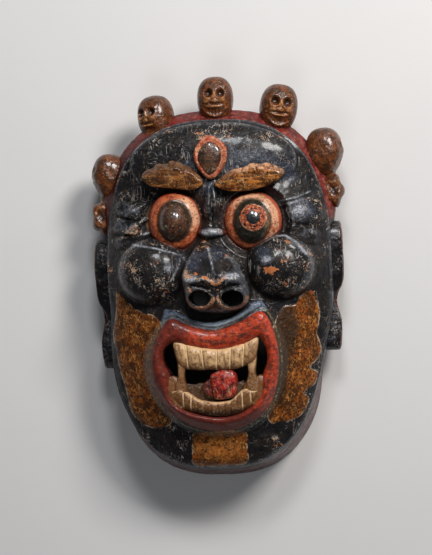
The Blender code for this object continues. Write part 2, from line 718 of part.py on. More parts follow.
def ear_top(stand):
    """A raised rim round a bowl, a flat waist and a full lobe."""
    def top(along, deep, share):
        waist = bell((along - WAIST_Y) / WAIST_WIDTH)
        bowl = np.exp(-oval(along, deep, BOWL_MIDDLE, BOWL_RADII) ** 4)
        lobe = np.clip((LOBE_STARTS_Y - along) / LOBE_RUN, 0, 1)
        drop = WAIST_DROP * waist + BOWL_DROP * bowl + LOBE_DROP * lobe + EAR_EDGE_DROP * share ** 5
        return stand + EAR_ROOT - drop

    return top


def ear_pieces():
    for side, lower, stand in EARS:
        bm = pillow(EAR_OUTLINE, ear_top(stand), 0.0, (34, 16))
        root = side * (HALF_WIDTH - EAR_ROOT - EAR_OVERLAP) * MM
        onto_wall = Matrix(((0, 0, side, root), (1, 0, 0, lower * MM), (0, 1, 0, 0), (0, 0, 0, 1)))
        bmesh.ops.transform(bm, matrix=onto_wall, verts=bm.verts)
        bmesh.ops.recalc_face_normals(bm, faces=bm.faces)
        yield bm


def add_object(name, bm, collection):
    bmesh.ops.translate(bm, verts=bm.verts, vec=[-value * MM for value in MIDDLE])
    mesh = bpy.data.meshes.new(name)
    bm.to_mesh(mesh)
    bm.free()
    thing = bpy.data.objects.new(name, mesh)
    collection.objects.link(thing)
    return thing


def joined(pieces):
    """Puts closed shapes that overlap into one mesh."""
    whole = bmesh.new()
    for piece in pieces:
        mesh = bpy.data.meshes.new("piece")
        piece.to_mesh(mesh)
        piece.free()
        whole.from_mesh(mesh)
        bpy.data.meshes.remove(mesh)
    return whole


def collection_named(name):
    collection = bpy.data.collections.new(name)
    bpy.context.scene.collection.children.link(collection)
    return collection


def cutter(name, bm, collection):
    thing = add_object(name, bm, collection)
    thing.hide_render = True
    thing.display_type = "WIRE"
    return thing


def triangles_of(thing):
    evaluated = thing.evaluated_get(bpy.context.evaluated_depsgraph_get())
    return sum(len(face.vertices) - 2 for face in evaluated.data.polygons)


def painted_wood():
    material = bpy.data.materials.new("painted_wood")
    material.use_nodes = True
    shader = material.node_tree.nodes["Principled BSDF"]
    shader.inputs["Base Color"].default_value = WOOD
    shader.inputs["Roughness"].default_value = 0.38
    shader.inputs["Metallic"].default_value = 0.0
    return material


def sawn_below():
    """The space under the back rim, which leaves the rim flat."""
    bm = bmesh.new()
    bmesh.ops.create_cube(bm, size=1)
    width, length, depth = [value * MM for value in SAWN_BLOCK]
    bmesh.ops.scale(bm, verts=bm.verts, vec=(width, length, depth))
    bmesh.ops.translate(bm, verts=bm.verts, vec=(0, 0, -depth / 2))
    return bm


def build():
    for old in list(bpy.data.objects):
        bpy.data.objects.remove(old)
    carved = collection_named("cham_mask")
    cutters = collection_named("cutters")
    wall = [(egg_reach, EDGE_Z - 1), (band_reach, BAND_Z), (rim_reach, -SAW_DEPTH)]
    pieces = [block(face_height, 0.0, CARVING_STEP, wall)]
    for makers in (mouth_pieces, brow_pieces, skull_pieces, rosette_pieces, ear_pieces):
        pieces.extend(makers())
    mask = add_object("mask", joined(pieces), carved)
    mask.data.materials.append(painted_wood())

    one_block = mask.modifiers.new("one_block", "REMESH")
    one_block.mode = "VOXEL"
    one_block.voxel_size = VOXEL * MM
    bpy.context.view_layer.update()
    fewer = mask.modifiers.new("fewer", "DECIMATE")
    fewer.ratio = TRIANGLES / triangles_of(mask)

    hollow = block(hollow_height, WALL_THICKNESS, HOLLOW_STEP, [(hollow_reach, -2 * SAW_DEPTH)])
    for name, bm in (("hollow", hollow), ("sawn_below", sawn_below())):
        cut = mask.modifiers.new(name, "BOOLEAN")
        cut.operation = "DIFFERENCE"
        cut.solver = "EXACT"
        cut.object = cutter(name, bm, cutters)


build()
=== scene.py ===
# %% [markdown]
# # A carved and painted dance mask
#
# The real mask is one block of softwood, hollowed from behind, carved in deep relief, painted over a
# ground and varnished. The frame that is loaded here is the plain solid of that block. This lesson
# dresses it: each cell makes one carved form or one finish, as a surface worked out with numpy.

import bpy
import numpy as np
from mathutils import Matrix, Vector


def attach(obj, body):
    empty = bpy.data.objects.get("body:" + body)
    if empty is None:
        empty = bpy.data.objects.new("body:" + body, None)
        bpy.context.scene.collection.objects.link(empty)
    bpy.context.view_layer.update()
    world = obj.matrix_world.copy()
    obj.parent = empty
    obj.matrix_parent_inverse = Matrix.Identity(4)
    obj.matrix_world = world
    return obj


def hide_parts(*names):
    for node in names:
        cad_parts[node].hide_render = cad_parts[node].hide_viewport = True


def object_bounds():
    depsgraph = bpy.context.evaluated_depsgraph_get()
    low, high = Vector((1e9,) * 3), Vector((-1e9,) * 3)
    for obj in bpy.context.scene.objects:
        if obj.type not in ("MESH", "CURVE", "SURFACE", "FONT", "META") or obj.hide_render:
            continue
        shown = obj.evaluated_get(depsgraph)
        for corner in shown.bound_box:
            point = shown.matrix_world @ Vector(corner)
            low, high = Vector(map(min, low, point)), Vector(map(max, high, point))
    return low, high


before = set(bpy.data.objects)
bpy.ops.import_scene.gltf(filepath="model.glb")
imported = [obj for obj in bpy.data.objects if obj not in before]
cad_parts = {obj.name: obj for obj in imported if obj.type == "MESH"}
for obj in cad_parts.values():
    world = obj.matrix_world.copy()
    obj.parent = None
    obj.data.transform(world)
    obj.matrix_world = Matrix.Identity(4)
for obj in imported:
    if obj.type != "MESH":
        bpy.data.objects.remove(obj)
cad_box = [list(corner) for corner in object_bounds()]
print("the block is", [round(high - low, 4) for low, high in zip(*cad_box)], "m")

# %% [markdown]
# ## Lengths and places
#
# A carver lays a face out from its middle line in millimetres, so the shapes below are worked out in
# millimetres and become metres only when a mesh is made. The middle of the block's box is the origin
# of the frame, and it lies a little off the carver's middle line.

# %% Units and the seed of every random draw
MM = 0.001
MIDDLE = np.array([-0.7, 1.6, 0.0])
draw = np.random.default_rng(7)


def kept_inside(points):
    """Points in metres, moved onto the block's box wherever a fine ridge would stand out of it."""
    low, high = np.array(cad_box)
    return np.clip(points, low + 0.00005, high - 0.00005)


# %% Ellipses, swellings and fillets
def oval(x, y, centre, radii, turn=0.0):
    """0 in the middle of an ellipse and 1 on its edge: the length of (along / a, across / b)."""
    angle = np.radians(turn)
    dx = x - centre[0]
    dy = y - centre[1]
    along = dx * np.cos(angle) + dy * np.sin(angle)
    across = dy * np.cos(angle) - dx * np.sin(angle)
    return np.hypot(along / radii[0], across / radii[1])


def cap(x, y, centre, radii, top, depth, turn=0.0, power=2):
    """Height of an ellipsoid: top - depth (1 - sqrt(1 - d^power)), steep outside its edge."""
    d = oval(x, y, centre, radii, turn)
    inside = np.sqrt(np.clip(1 - d ** power, 0, 1))
    return top - depth * (1 - inside) - 40 * np.clip(d - 1, 0, None)


def smooth_max(a, b, soft):
    """The higher of two surfaces, with a fillet about as wide as soft where they meet."""
    share = np.clip(0.5 + 0.5 * (a - b) / soft, 0, 1)
    return b + (a - b) * share + soft * share * (1 - share)


def bell(value):
    """1 at 0 and fading on both sides: e to the power of minus the square."""
    return np.exp(-np.square(value))


def ease(value, low, high):
    """0 below low, 1 above high, with a smooth step 3t^2 - 2t^3 between."""
    t = np.clip((value - low) / (high - low), 0, 1)
    return t * t * (3 - 2 * t)


print("an ellipse's edge reads", oval(3.0, 0.0, (0, 0), (3, 1)))


# %% Drawn outlines
def smooth_loop(points, steps=8):
    """A closed Catmull-Rom curve: between two points, a cubic that also looks at their neighbours."""
    here = np.asarray(points, float)
    before = np.roll(here, 1, 0)[:, None]
    after = np.roll(here, -1, 0)[:, None]
    beyond = np.roll(here, -2, 0)[:, None]
    here = here[:, None]
    t = np.linspace(0, 1, steps, endpoint=False)[None, :, None]
    curve = 2 * here + (after - before) * t
    curve = curve + (2 * before - 5 * here + 4 * after - beyond) * t ** 2
    curve = curve + (3 * here - before - 3 * after + beyond) * t ** 3
    return (curve / 2).reshape(-1, 2)


def path_distance(x, y, path):
    """Distance from each place to the nearest of the straight runs of a path."""
    best = np.full(np.shape(x), np.inf)
    for (ax, ay), (bx, by) in zip(path[:-1], path[1:]):
        run = (bx - ax, by - ay)
        t = ((x - ax) * run[0] + (y - ay) * run[1]) / (run[0] ** 2 + run[1] ** 2)
        t = np.clip(t, 0, 1)
        best = np.minimum(best, np.hypot(x - ax - t * run[0], y - ay - t * run[1]))
    return best


def depth_inside(x, y, loop):
    """Distance to a closed loop, positive inside it: odd numbers of crossings lie inside."""
    closed = np.vstack([loop, loop[:1]])
    odd = np.zeros(np.shape(x), bool)
    for (ax, ay), (bx, by) in zip(closed[:-1], closed[1:]):
        if ay == by:
            continue
        crosses = (ay > y) != (by > y)
        odd ^= crosses & (x < ax + (y - ay) * (bx - ax) / (by - ay))
    away = path_distance(x, y, closed)
    return np.where(odd, away, -away)


# %% Unevenness of the hand
def lattice(size, count=24):
    """A block of random numbers whose neighbours are size millimetres apart."""
    return draw.random((count, count, count)), size


COARSE = lattice(16.0)
MEDIUM = lattice(7.0)
FINE = lattice(3.2)


def uneven(points, block):
    """Smooth noise from 0 to 1: the eight nearest random numbers, weighed by smooth steps."""
    numbers, size = block
    place = np.asarray(points, float) / size
    corner = np.floor(place).astype(int)
    share = place - corner
    share = share * share * (3 - 2 * share)
    total = 0
    for shift in np.ndindex(2, 2, 2):
        near = (corner + shift) % len(numbers)
        weight = np.prod(np.where(shift, share, 1 - share), axis=-1)
        total = total + weight * numbers[near[..., 0], near[..., 1], near[..., 2]]
    return total


print("unevenness at one place:", round(float(uneven([[5.0, 4.0, 3.0]], COARSE)[0]), 3))

# %% [markdown]
# ## Patches of surface
#
# Every piece is a closed skin. A grid of points gives the domed front, loops of points carry its edge
# down and round, and the last loop is closed with another grid. A square grid is squeezed into a
# circle first, because a grid of rings would crowd its points at the middle of the face.


# %% A grid squeezed into a circle
def squared_circle(columns, rows):
    """Direction and share of the way out: (u sqrt(1 - v^2/2), v sqrt(1 - u^2/2)) on a square grid."""
    u = np.linspace(-1, 1, columns + 1)[None, :]
    v = np.linspace(-1, 1, rows + 1)[:, None]
    across = u * np.sqrt(1 - v * v / 2)
    along = v * np.sqrt(1 - u * u / 2)
    return np.arctan2(along, across), np.clip(np.hypot(across, along), 0, 1)


def edge_of(grid):
    """The numbers along a grid's edge, once round, counter-clockwise."""
    return np.concatenate([grid[0, :-1], grid[:-1, -1], grid[-1, :0:-1], grid[:0:-1, 0]])


# %% A skin that is sewn from patches
class Skin:
    """Gathers the points and faces of one piece."""

    def __init__(self):
        self.points = []
        self.faces = []
        self.size = 0

    def put(self, x, y, z):
        """Adds points and gives their numbers in the same layout."""
        places = np.stack(np.broadcast_arrays(x, y, z), -1).astype(float)
        self.points.append(places.reshape(-1, 3))
        numbers = self.size + np.arange(places[..., 0].size).reshape(places.shape[:-1])
        self.size += numbers.size
        return numbers

    def net(self, grid, facing=1):
        """Faces over a grid, which look up where facing is 1 and down where it is -1."""
        corners = [grid[:-1, :-1], grid[:-1, 1:], grid[1:, 1:], grid[1:, :-1]][::facing]
        self.faces.append(np.stack(corners, -1).reshape(-1, 4))

    def wall(self, upper, lower):
        """Faces between a closed loop and the loop under it, which look outwards."""
        corners = [upper, lower, np.roll(lower, -1), np.roll(upper, -1)]
        self.faces.append(np.stack(corners, -1))

    def coarser(self, many, few):
        """Faces between a loop and one with half as many points."""
        first, second = many[0::2], many[1::2]
        third, near, far = np.roll(first, -1), few, np.roll(few, -1)
        for corners in ([first, near, second], [second, near, far], [second, far, third]):
            self.faces.append(np.stack(corners, -1))

    def fan(self, loop, middle, facing=1):
        """Faces from a loop to one point."""
        corners = [loop, np.roll(loop, -1), np.broadcast_to(middle, loop.shape)][::facing]
        self.faces.append(np.stack(corners, -1))

    def mesh(self, name):
        """The gathered patches as a mesh in metres, about the middle of the block."""
        places = kept_inside((np.vstack(self.points) - MIDDLE) * MM)
        mesh = bpy.data.meshes.new(name)
        sizes = np.concatenate([np.full(len(faces), faces.shape[1]) for faces in self.faces])
        corners = np.concatenate([faces.ravel() for faces in self.faces])
        mesh.vertices.add(len(places))
        mesh.vertices.foreach_set("co", places.ravel())
        mesh.loops.add(len(corners))
        mesh.loops.foreach_set("vertex_index", corners.astype(np.int32))
        mesh.polygons.add(len(sizes))
        mesh.polygons.foreach_set("loop_start", np.concatenate([[0], np.cumsum(sizes)[:-1]]).astype(np.int32))
        mesh.update(calc_edges=True)
        mesh.validate()
        mesh.shade_smooth()
        return mesh


# %% A finished piece
def piece(name, mesh, material, sharp=50):
    """Puts a mesh in the scene as a part of the carved block."""
    thing = bpy.data.objects.new(name, mesh)
    bpy.context.scene.collection.objects.link(thing)
    mesh.set_sharp_from_angle(angle=np.radians(sharp))
    mesh.materials.clear()
    mesh.materials.append(material)
    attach(thing, "root")
    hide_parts("mask")
    triangles = sum(len(face.vertices) - 2 for face in mesh.polygons)
    print(name, "has", triangles, "triangles")
    return thing


def read_points(mesh):
    """A mesh's points in the carver's millimetres."""
    places = np.empty(len(mesh.vertices) * 3)
    mesh.vertices.foreach_get("co", places)
    return places.reshape(-1, 3) / MM + MIDDLE


def write_values(mesh, **values):
    """Keeps a number for each point, which the materials read by its name."""
    for name, numbers in values.items():
        layer = mesh.attributes.new(name, "FLOAT", "POINT")
        layer.data.foreach_set("value", np.asarray(numbers, np.float32).ravel())


# %% [markdown]
# ## The face as a height over an egg
#
# Seen from the front the mask is an egg with its wide end up. Over that egg the carver left a dome and
# cut every feature into it or raised it from it, so the front is one height for each place: the dome,
# then the highest of the swellings, joined with small fillets. Sculpting by hand would do too, but a
# formula can be changed by one number.

# %% The egg and the dome
HALF_WIDTH = 112.3
WIDEST_Y = 16.0
CROWN_REACH = 144.5
CHIN_REACH = 205.5
EGG_POWER = 2.62
LEAN = 6.5
EDGE_Z = 64.0
DOME_RISE = 41.0
DOME_SPREAD = 2.3
DOME_STEEP = 0.7


def even_egg(angle, wider=0.0):
    """Distance to an even outline: (|cos/a|^p + |sin/b|^p)^(-1/p), with a longer b below than above."""
    up = np.where(np.sin(angle) > 0, CROWN_REACH, CHIN_REACH) + wider
    across = np.abs(np.cos(angle)) / (HALF_WIDTH + wider)
    along = np.abs(np.sin(angle)) / up
    return (across ** EGG_POWER + along ** EGG_POWER) ** (-1 / EGG_POWER)


def egg_reach(angle, wider=0.0):
    """The even egg r with its chin moved sideways by d: r - d (cos + r'/r sin)."""
    reach = even_egg(angle, wider)
    slope = (even_egg(angle + 0.01, wider) - even_egg(angle - 0.01, wider)) / (0.02 * reach)
    lean = LEAN * ease(-np.sin(angle), 0.35, 0.8)
    return reach - lean * (np.cos(angle) + slope * np.sin(angle))


def egg_share(x, y, inset=0.0):
    """0 in the middle of the egg, 1 on its outline."""
    angle = np.arctan2(y - WIDEST_Y, x)
    return np.hypot(x, y - WIDEST_Y) / egg_reach(angle, -inset)


def dome(x, y):
    """Edge height + rise (1 - share^spread)^steep."""
    share = np.clip(egg_share(x, y), 0, 1)
    return EDGE_Z + DOME_RISE * (1 - share ** DOME_SPREAD) ** DOME_STEEP


print("the dome is", round(float(dome(0.0, WIDEST_Y)), 1), "mm high")

# %% Brow bone, folds of the temples, cheeks and eyelids
EYES = (
    ((-40.5, 59.5), (27.5, 31.0), (17.5, 21.5)),
    ((36.3, 57.0), (30.0, 31.0), (19.5, 23.0)),
)
FOREHEAD = ((-2, 118), (84, 40), 99, 20, 8, 0)
CHEEKS = (((-63, 11), (37, 35), 119, 32, 7, 0), ((61, 12), (36, 34), 121, 32, 3, 0))
FOLDS = (
    ((88, 66), (20, 14), 4.5, 12),
    ((85, 42), (17, 9), 4.0, -14),
    ((-88, 72), (16, 8), 3.8, -24),
    ((-91, 56), (15, 8), 4.0, -14),
    ((-88, 40), (16, 7), 3.6, -4),
)
CREASES = (
    (((62, 71), (80, 76), (97, 82)), 2.2, 2.2),
    (((70, 36), (81, 29), (92, 21)), 2.2, 1.5),
    (((-72, 76), (-86, 70), (-98, 58)), 2.0, 1.5),
    (((-70, 62), (-84, 56), (-97, 44)), 2.0, 1.5),
    (((-66, 44), (-80, 38), (-95, 30)), 2.2, 1.6),
)


def swell(x, y, z, form):
    """Raises a surface to a swelling: middle, radii, top, depth, fillet, turn."""
    centre, radii, top, depth, fillet, turn = form
    return smooth_max(z, cap(x, y, centre, radii, top, depth, turn), fillet)


def fold(x, y, z, form):
    """Raises a patch evenly over the surface: full below 0.75 of a squarish outline, none above 1.05."""
    centre, radii, raised, turn = form
    angle = np.radians(turn)
    along = ((x - centre[0]) * np.cos(angle) + (y - centre[1]) * np.sin(angle)) / radii[0]
    across = ((y - centre[1]) * np.cos(angle) - (x - centre[0]) * np.sin(angle)) / radii[1]
    share = (along ** 4 + across ** 4) ** 0.25
    return z + raised * (1 - ease(share, 0.72, 1.08))


def carve_upper_face(x, y, z):
    """Sockets are scooped out, then the swellings, the temples' folds and the lids are raised."""
    for (cx, cy), _, _ in EYES:
        hole = np.clip(1 - oval(x, y, (cx * 1.06, cy), (37, 37)) ** 2, 0, 1)
        z = z - 13 * hole ** 0.8
    for form in FOLDS:
        z = fold(x, y, z, form)
    for form in (FOREHEAD, *CHEEKS):
        z = swell(x, y, z, form)
    for path, width, raised in CREASES:
        z = z + raised * bell(path_distance(x, y, path) / width)
    for centre, lid, _ in EYES:
        z = smooth_max(z, cap(x, y, centre, lid, 108, 22, power=5), 1.5)
    return z


# %% Bridge, roll and nose
BRIDGE = ((-3.5, 76), (12, 30), 108, 24, 2, 0)
CROSS_ROLL = ((-4, 47), (13.5, 6), 112, 12, 1.2, 0)
NOSE = smooth_loop([
    (-21, 33.5), (-9, 35.5), (2.4, 35), (8.4, 30.4), (14.5, 25.3), (22, 18.5), (26, 9), (29.4, 1.6), (32.4, -8.5),
    (32.8, -16.5), (30.3, -23.5), (25.2, -28), (17.8, -31.4), (8, -34.1), (-1.8, -34.4), (-10.3, -33.8),
    (-18.5, -32), (-27, -26.5), (-31, -20), (-32.6, -12), (-33.9, -3.5), (-34.8, 5.1), (-32.7, 12.9),
    (-30, 20.8), (-25.4, 28)], 3)
NOSE_Y = (-36, -31, -22, -10, 0, 9, 20, 35)
NOSE_TOP = (114, 125, 136, 142, 143.5, 139, 128, 111)
NOSE_EDGE = ((-30, 0, 12, 34), (9, 8, 5, 4))
NOSE_RIDGE = ((-7.5, 32), (-4.2, 20), (-0.9, 8), (0.5, 0))
LOBES = (((-17, 1.5), (13, 6.0)), ((14.5, 1.5), (13, 6.0)))
TIP = ((-10.4, 3), (-4.5, -0.8), (0.9, -4.6), (5.2, -1.4), (9.5, 1.7))
WINGS = (((-31, -5.5), (-23, -4), (-13.3, -6.2), (-5, -9)), ((6, -10), (14.6, -6.6), (24.3, -5.2), (31, -6.5)))
NOSTRILS = (((-16.0, -16.8), (10.8, 7.6)), ((16.0, -18.0), (10.8, 8.0)))


def carve_nose(x, y, z):
    """A grooved bridge and a roll; then a roof in a drawn outline: floor + rise (1 - (1 - in)^2.6)^0.5."""
    z = swell(x, y, z, BRIDGE)
    z = z - 3.2 * bell((x + 3) / 1.3) * ease(y, 50, 60) * ease(-y, -100, -88)
    z = swell(x, y, z, CROSS_ROLL)
    inside = depth_inside(x, y, NOSE)
    middle = np.interp(-y, [-row for _, row in NOSE_RIDGE], [column for column, _ in NOSE_RIDGE])
    top = np.interp(y, NOSE_Y, NOSE_TOP) - (0.06 + 0.24 * ease(y, 2, 14)) * np.abs(x - middle)
    for centre, radii in LOBES:
        top = top + 3.4 * bell(oval(x, y, centre, radii))
    top = top + 1.6 * bell(path_distance(x, y, TIP) / 2.2) - 2.2 * bell(path_distance(x, y, ((0, 9), (0, 1))) / 2.0)
    for path in WINGS:
        top = top - 2.6 * bell(path_distance(x, y, path) / 1.7)
    for (cx, cy), radii in NOSTRILS:
        around = oval(x, y, (cx, cy), radii)
        outer = ease((cy - y) / radii[1] + 0.6 * np.abs(x) / 30, -0.6, 0.7)
        top = top + (0.6 + 3.2 * outer) * bell((around - 1.26) / 0.16)
    rounding = np.clip(inside / np.interp(y, *NOSE_EDGE), 0, 1)
    arch = 97 + (top - 97) * (1 - (1 - rounding) ** 2.6) ** 0.5
    return smooth_max(z, np.where(inside > 0, arch, 0.0), 1.6)


# %% Muzzle, moustache, lips and beard
MUZZLE = ((-5, -92), (88, 84))
MUZZLE_RAISED = 7.0
CHIN = ((-4, -166), (64, 32), 84, 12, 6, 0)
TACHE = np.array([
    (-53, -27), (-46, -28.5), (-33.6, -34), (-25, -39), (-15.4, -41.2), (-5.5, -41.3), (12, -38), (24.3, -30),
    (32, -22.5), (43, -22), (49, -31), (41.3, -32), (29, -37), (16.4, -42.7), (-2.2, -48.8), (-17, -48),
    (-34, -41.6), (-46, -38), (-56, -46), (-61, -51)])
LIP_OUTER = smooth_loop([
    (-47, -36.5), (-60, -52), (-68, -75), (-67, -100), (-58, -122), (-38, -140), (-12, -148.5),
    (15, -147.5), (38, -135), (52, -114), (58, -85), (55, -55), (43, -32), (20, -41.8),
    (-4, -48.6), (-26, -44.5)])
LIP_INNER = smooth_loop([
    (-46, -60), (-54.5, -66), (-56.5, -75), (-54, -84), (-49.8, -91.5), (-49, -100), (-50, -110), (-46, -119),
    (-37, -125), (-25, -129), (-14, -131.5), (-0.6, -133), (14, -131.3), (25, -126.5), (34, -119.5), (39, -110.5),
    (39.4, -101), (40.8, -94.5), (45.5, -84), (46.5, -73), (43.2, -62.5), (38.5, -57), (32, -60.5), (25, -64),
    (16.4, -66.5), (8, -68.5), (-0.6, -69.5), (-11.8, -68.5), (-21.6, -66.7), (-31, -64), (-39.7, -61)], 3)
BEARDS = (
    smooth_loop([
        (-103, -8.5), (-105, -29.5), (-109, -49.5), (-106, -70), (-102, -90), (-97, -109), (-93, -129),
        (-82, -141), (-69, -145.6), (-61, -145), (-50.5, -135), (-50, -90), (-55, -50), (-62, -35),
        (-79, -29), (-92, -19)]),
    smooth_loop([
        (62, -30), (75, -27), (83, -16), (93, -14), (96, -23), (99, -36), (95.6, -56), (99, -70),
        (95.7, -81), (87.5, -89.5), (95, -96), (92, -106), (80, -115), (85, -120), (83, -129),
        (74, -139), (58, -143), (45, -140), (44, -100), (50, -60)]),
    smooth_loop([
        (-31, -153), (-20, -150.5), (0, -149.5), (21, -151), (22, -168), (21, -183), (0, -186),
        (-31, -184), (-32, -168)]),
)


def carve_mouth(x, y, z):
    """The lips are a ring between two loops: crest - roll (1 - sin(pi share^skew)^0.6)."""
    z = z + MUZZLE_RAISED * (1 - ease(oval(x, y, *MUZZLE), 0.35, 1.15))
    edge = 1 - np.clip(egg_share(x, y), 0, 1) ** 24
    centre, radii, top, depth, fillet, turn = CHIN
    z = smooth_max(z, EDGE_Z + (cap(x, y, centre, radii, top, depth, turn) - EDGE_Z) * edge ** 0.6, fillet)
    for loop in BEARDS:
        z = z + 0.9 * ease(depth_inside(x, y, loop), -0.3, 1.4)
    z = z + 4.2 * ease(depth_inside(x, y, TACHE), -2.0, 2.6)
    outer = depth_inside(x, y, LIP_OUTER)
    inner = depth_inside(x, y, LIP_INNER)
    share = np.clip(outer / np.maximum(outer - inner, 0.001), 0.02, 1)
    below = ease(-y, 70, 125)
    crest = 113 + 0.05 * (y + 95)
    roll = 6 + 6 * below
    ring = crest - roll * (1 - np.sin(np.pi * share ** (1 + 0.8 * below)) ** 0.6)
    ring = np.where(outer < 0, crest - roll + 1.6 * outer, ring)
    z = smooth_max(z, ring, 2)
    return z - 1.0 * bell((outer + 1.2) / 1.1)


def face_height(x, y):
    """The carved front, before the mouth and the nostrils are cut through it."""
    return carve_mouth(x, y, carve_nose(x, y, carve_upper_face(x, y, dome(x, y))))


# %% Ridges and hollows of the relief
MAP_STEP = 1.0
MAP_X = np.arange(-125, 126, MAP_STEP)
MAP_Y = np.arange(-200, 171, MAP_STEP)


def blurred(heights, width):
    """Each row and then each column is averaged with bell-shaped weights."""
    reach = np.arange(-3 * width, 3 * width + 1)
    weights = bell(reach / width / 1.4142)
    weights = weights / weights.sum()
    for axis in (0, 1):
        padded = np.pad(heights, [(3 * width, 3 * width) if axis == a else (0, 0) for a in (0, 1)], "edge")
        count = heights.shape[axis]
        slices = [padded.take(np.arange(k, k + count), axis) for k in range(len(reach))]
        heights = sum(weight * part for weight, part in zip(weights, slices))
    return heights


relief = face_height(*np.meshgrid(MAP_X, MAP_Y))
fine_ridges = relief - blurred(relief, 3)
broad_ridges = relief - blurred(relief, 9)


def from_map(values, x, y):
    """A map's value between its points, weighed by the distances to the nearest four."""
    column = np.clip((x - MAP_X[0]) / MAP_STEP, 0, len(MAP_X) - 1.001)
    row = np.clip((y - MAP_Y[0]) / MAP_STEP, 0, len(MAP_Y) - 1.001)
    c, r = column.astype(int), row.astype(int)
    s, t = column - c, row - r
    low = values[r, c] * (1 - s) + values[r, c + 1] * s
    return low * (1 - t) + (values[r + 1, c] * (1 - s) + values[r + 1, c + 1] * s) * t


print("the relief spans", round(float(relief.min())), "to", round(float(relief.max())), "mm")

# %% [markdown]
# ## Side wall, rim and hollow
#
# From the edge of the face a wall runs back to a flat rim. Around the crown the wall leans out as a
# red band for the skulls, and at the chin it flares. The inside is a plain dome, gouged out with a
# pocket behind the nose, so the wood is about as thick as a finger everywhere.

# %% Reaches of the wall
BAND_WIDTH = 10.0
BAND_Z = 52.0
WALL_LEDGE = 1.5
RIM_FLARE = 12.0
WALL_THICKNESS = 13.0


def crown_share(angle):
    """1 around the crown, fading to 0 where the ears begin."""
    return ease(np.sin(angle), 0.2, 0.5)


def band_reach(angle):
    return egg_reach(angle) + BAND_WIDTH * crown_share(angle) + WALL_LEDGE


def rim_reach(angle):
    return band_reach(angle) + RIM_FLARE * ease(-np.sin(angle), 0.7, 0.92)


def wall_reach(angle, z):
    """Out at a slant from the face's edge to the band's corner, then straight on to the rim."""
    top = egg_reach(angle)
    corner = band_reach(angle)
    down = np.clip((EDGE_Z - z) / (EDGE_Z - BAND_Z), 0, 1)
    below = np.clip((BAND_Z - z) / (BAND_Z + 4), 0, 1)
    slant = top + (corner - top) * down ** 0.8
    return slant + (rim_reach(angle) - corner) * below


def hollow_height(x, y):
    """A plain dome with a pocket behind the nose, a little lower where the gouge went less deep."""
    share = np.clip(egg_share(x, y, WALL_THICKNESS), 0, 1)
    z = BAND_Z + 35 * (1 - share ** DOME_SPREAD) ** DOME_STEEP
    pocket = np.clip(1 - oval(x, y, (-1, -8), (30, 42)) ** 2, 0, 1)
    return z + 26 * pocket ** 1.5


print("the wall reaches", round(float(wall_reach(-np.pi / 2, 0)), 1), "mm at the chin")

# %% The whole shell
FACE_STEP = 1.19
WALL_Z = (63.6, 62.9, 61.5, 59, 56.5, 54, 52.4, 51.2, 49, 44, 38, 32, 26, 20, 15, 12, 10, 8.5, 7, 4, 1.4, 0.5, 0)
HOLLOW_Z = (0.5, 2, 6, 12, 20, 28, 36, 44, 49)


def shell_skin():
    """The lifted grid of the front, rings down the wall, the flat rim and the gouged hollow."""
    skin = Skin()
    columns = 4 * round(2 * HALF_WIDTH / FACE_STEP / 4)
    rows = 4 * round((CROWN_REACH + CHIN_REACH) / FACE_STEP / 4)
    angle, share = squared_circle(columns, rows)
    reach = share * egg_reach(angle)
    x = reach * np.cos(angle)
    y = WIDEST_Y + reach * np.sin(angle)
    z = face_height(x, y)
    spots = np.stack([x, y, z], -1)
    fade = ease(1 - share, 0, 0.03)
    cut = 0.7 * uneven(spots, COARSE) + 0.45 * uneven(spots, MEDIUM) + 0.22 * uneven(spots, FINE)
    front = skin.put(x, y, z - fade * cut)
    skin.net(front)

    loop = edge_of(front)
    angles = edge_of(angle)
    for z in WALL_Z:
        reach = wall_reach(angles, z) - 0.8 * (z == 0) - 0.25 * (z == 0.5)
        x = reach * np.cos(angles)
        y = WIDEST_Y + reach * np.sin(angles)
        spots = np.stack([x, y, np.full_like(x, z)], -1)
        nick = (0.5 * uneven(spots, COARSE) + 0.4 * uneven(spots, FINE)) * (z < 63)
        ring = skin.put(x - nick * np.cos(angles), y - nick * np.sin(angles), z)
        skin.wall(loop, ring)
        loop = ring

    angle, share = squared_circle(columns // 2, rows // 2)
    angles = edge_of(angle)
    inner = rim_reach(angles) - WALL_THICKNESS
    last = egg_reach(angles, -WALL_THICKNESS)
    ring = skin.put(inner * np.cos(angles), WIDEST_Y + inner * np.sin(angles), 0)
    skin.coarser(loop, ring)
    loop = ring
    for z in HOLLOW_Z:
        reach = inner + (last - inner) * z / BAND_Z
        x = reach * np.cos(angles)
        y = WIDEST_Y + reach * np.sin(angles)
        gouge = 0.8 * uneven(np.stack([x, y, np.full_like(x, z)], -1), MEDIUM)
        ring = skin.put(x - gouge * np.cos(angles), y - gouge * np.sin(angles), z)
        skin.wall(loop, ring)
        loop = ring
    reach = share * egg_reach(angle, -WALL_THICKNESS)
    x = reach * np.cos(angle)
    y = WIDEST_Y + reach * np.sin(angle)
    scoop = np.abs(np.sin(np.pi * (x / 11 + 1.5 * uneven(np.stack([x, y, 0 * x], -1), COARSE))))
    gouge = (0.9 * scoop + 0.9 * uneven(np.stack([x, y, 0 * x], -1), MEDIUM)) * ease(1 - share, 0, 0.05)
    back = skin.put(x, y, hollow_height(x, y) - gouge)
    skin.wall(loop, edge_of(back))
    skin.net(back, -1)
    return skin


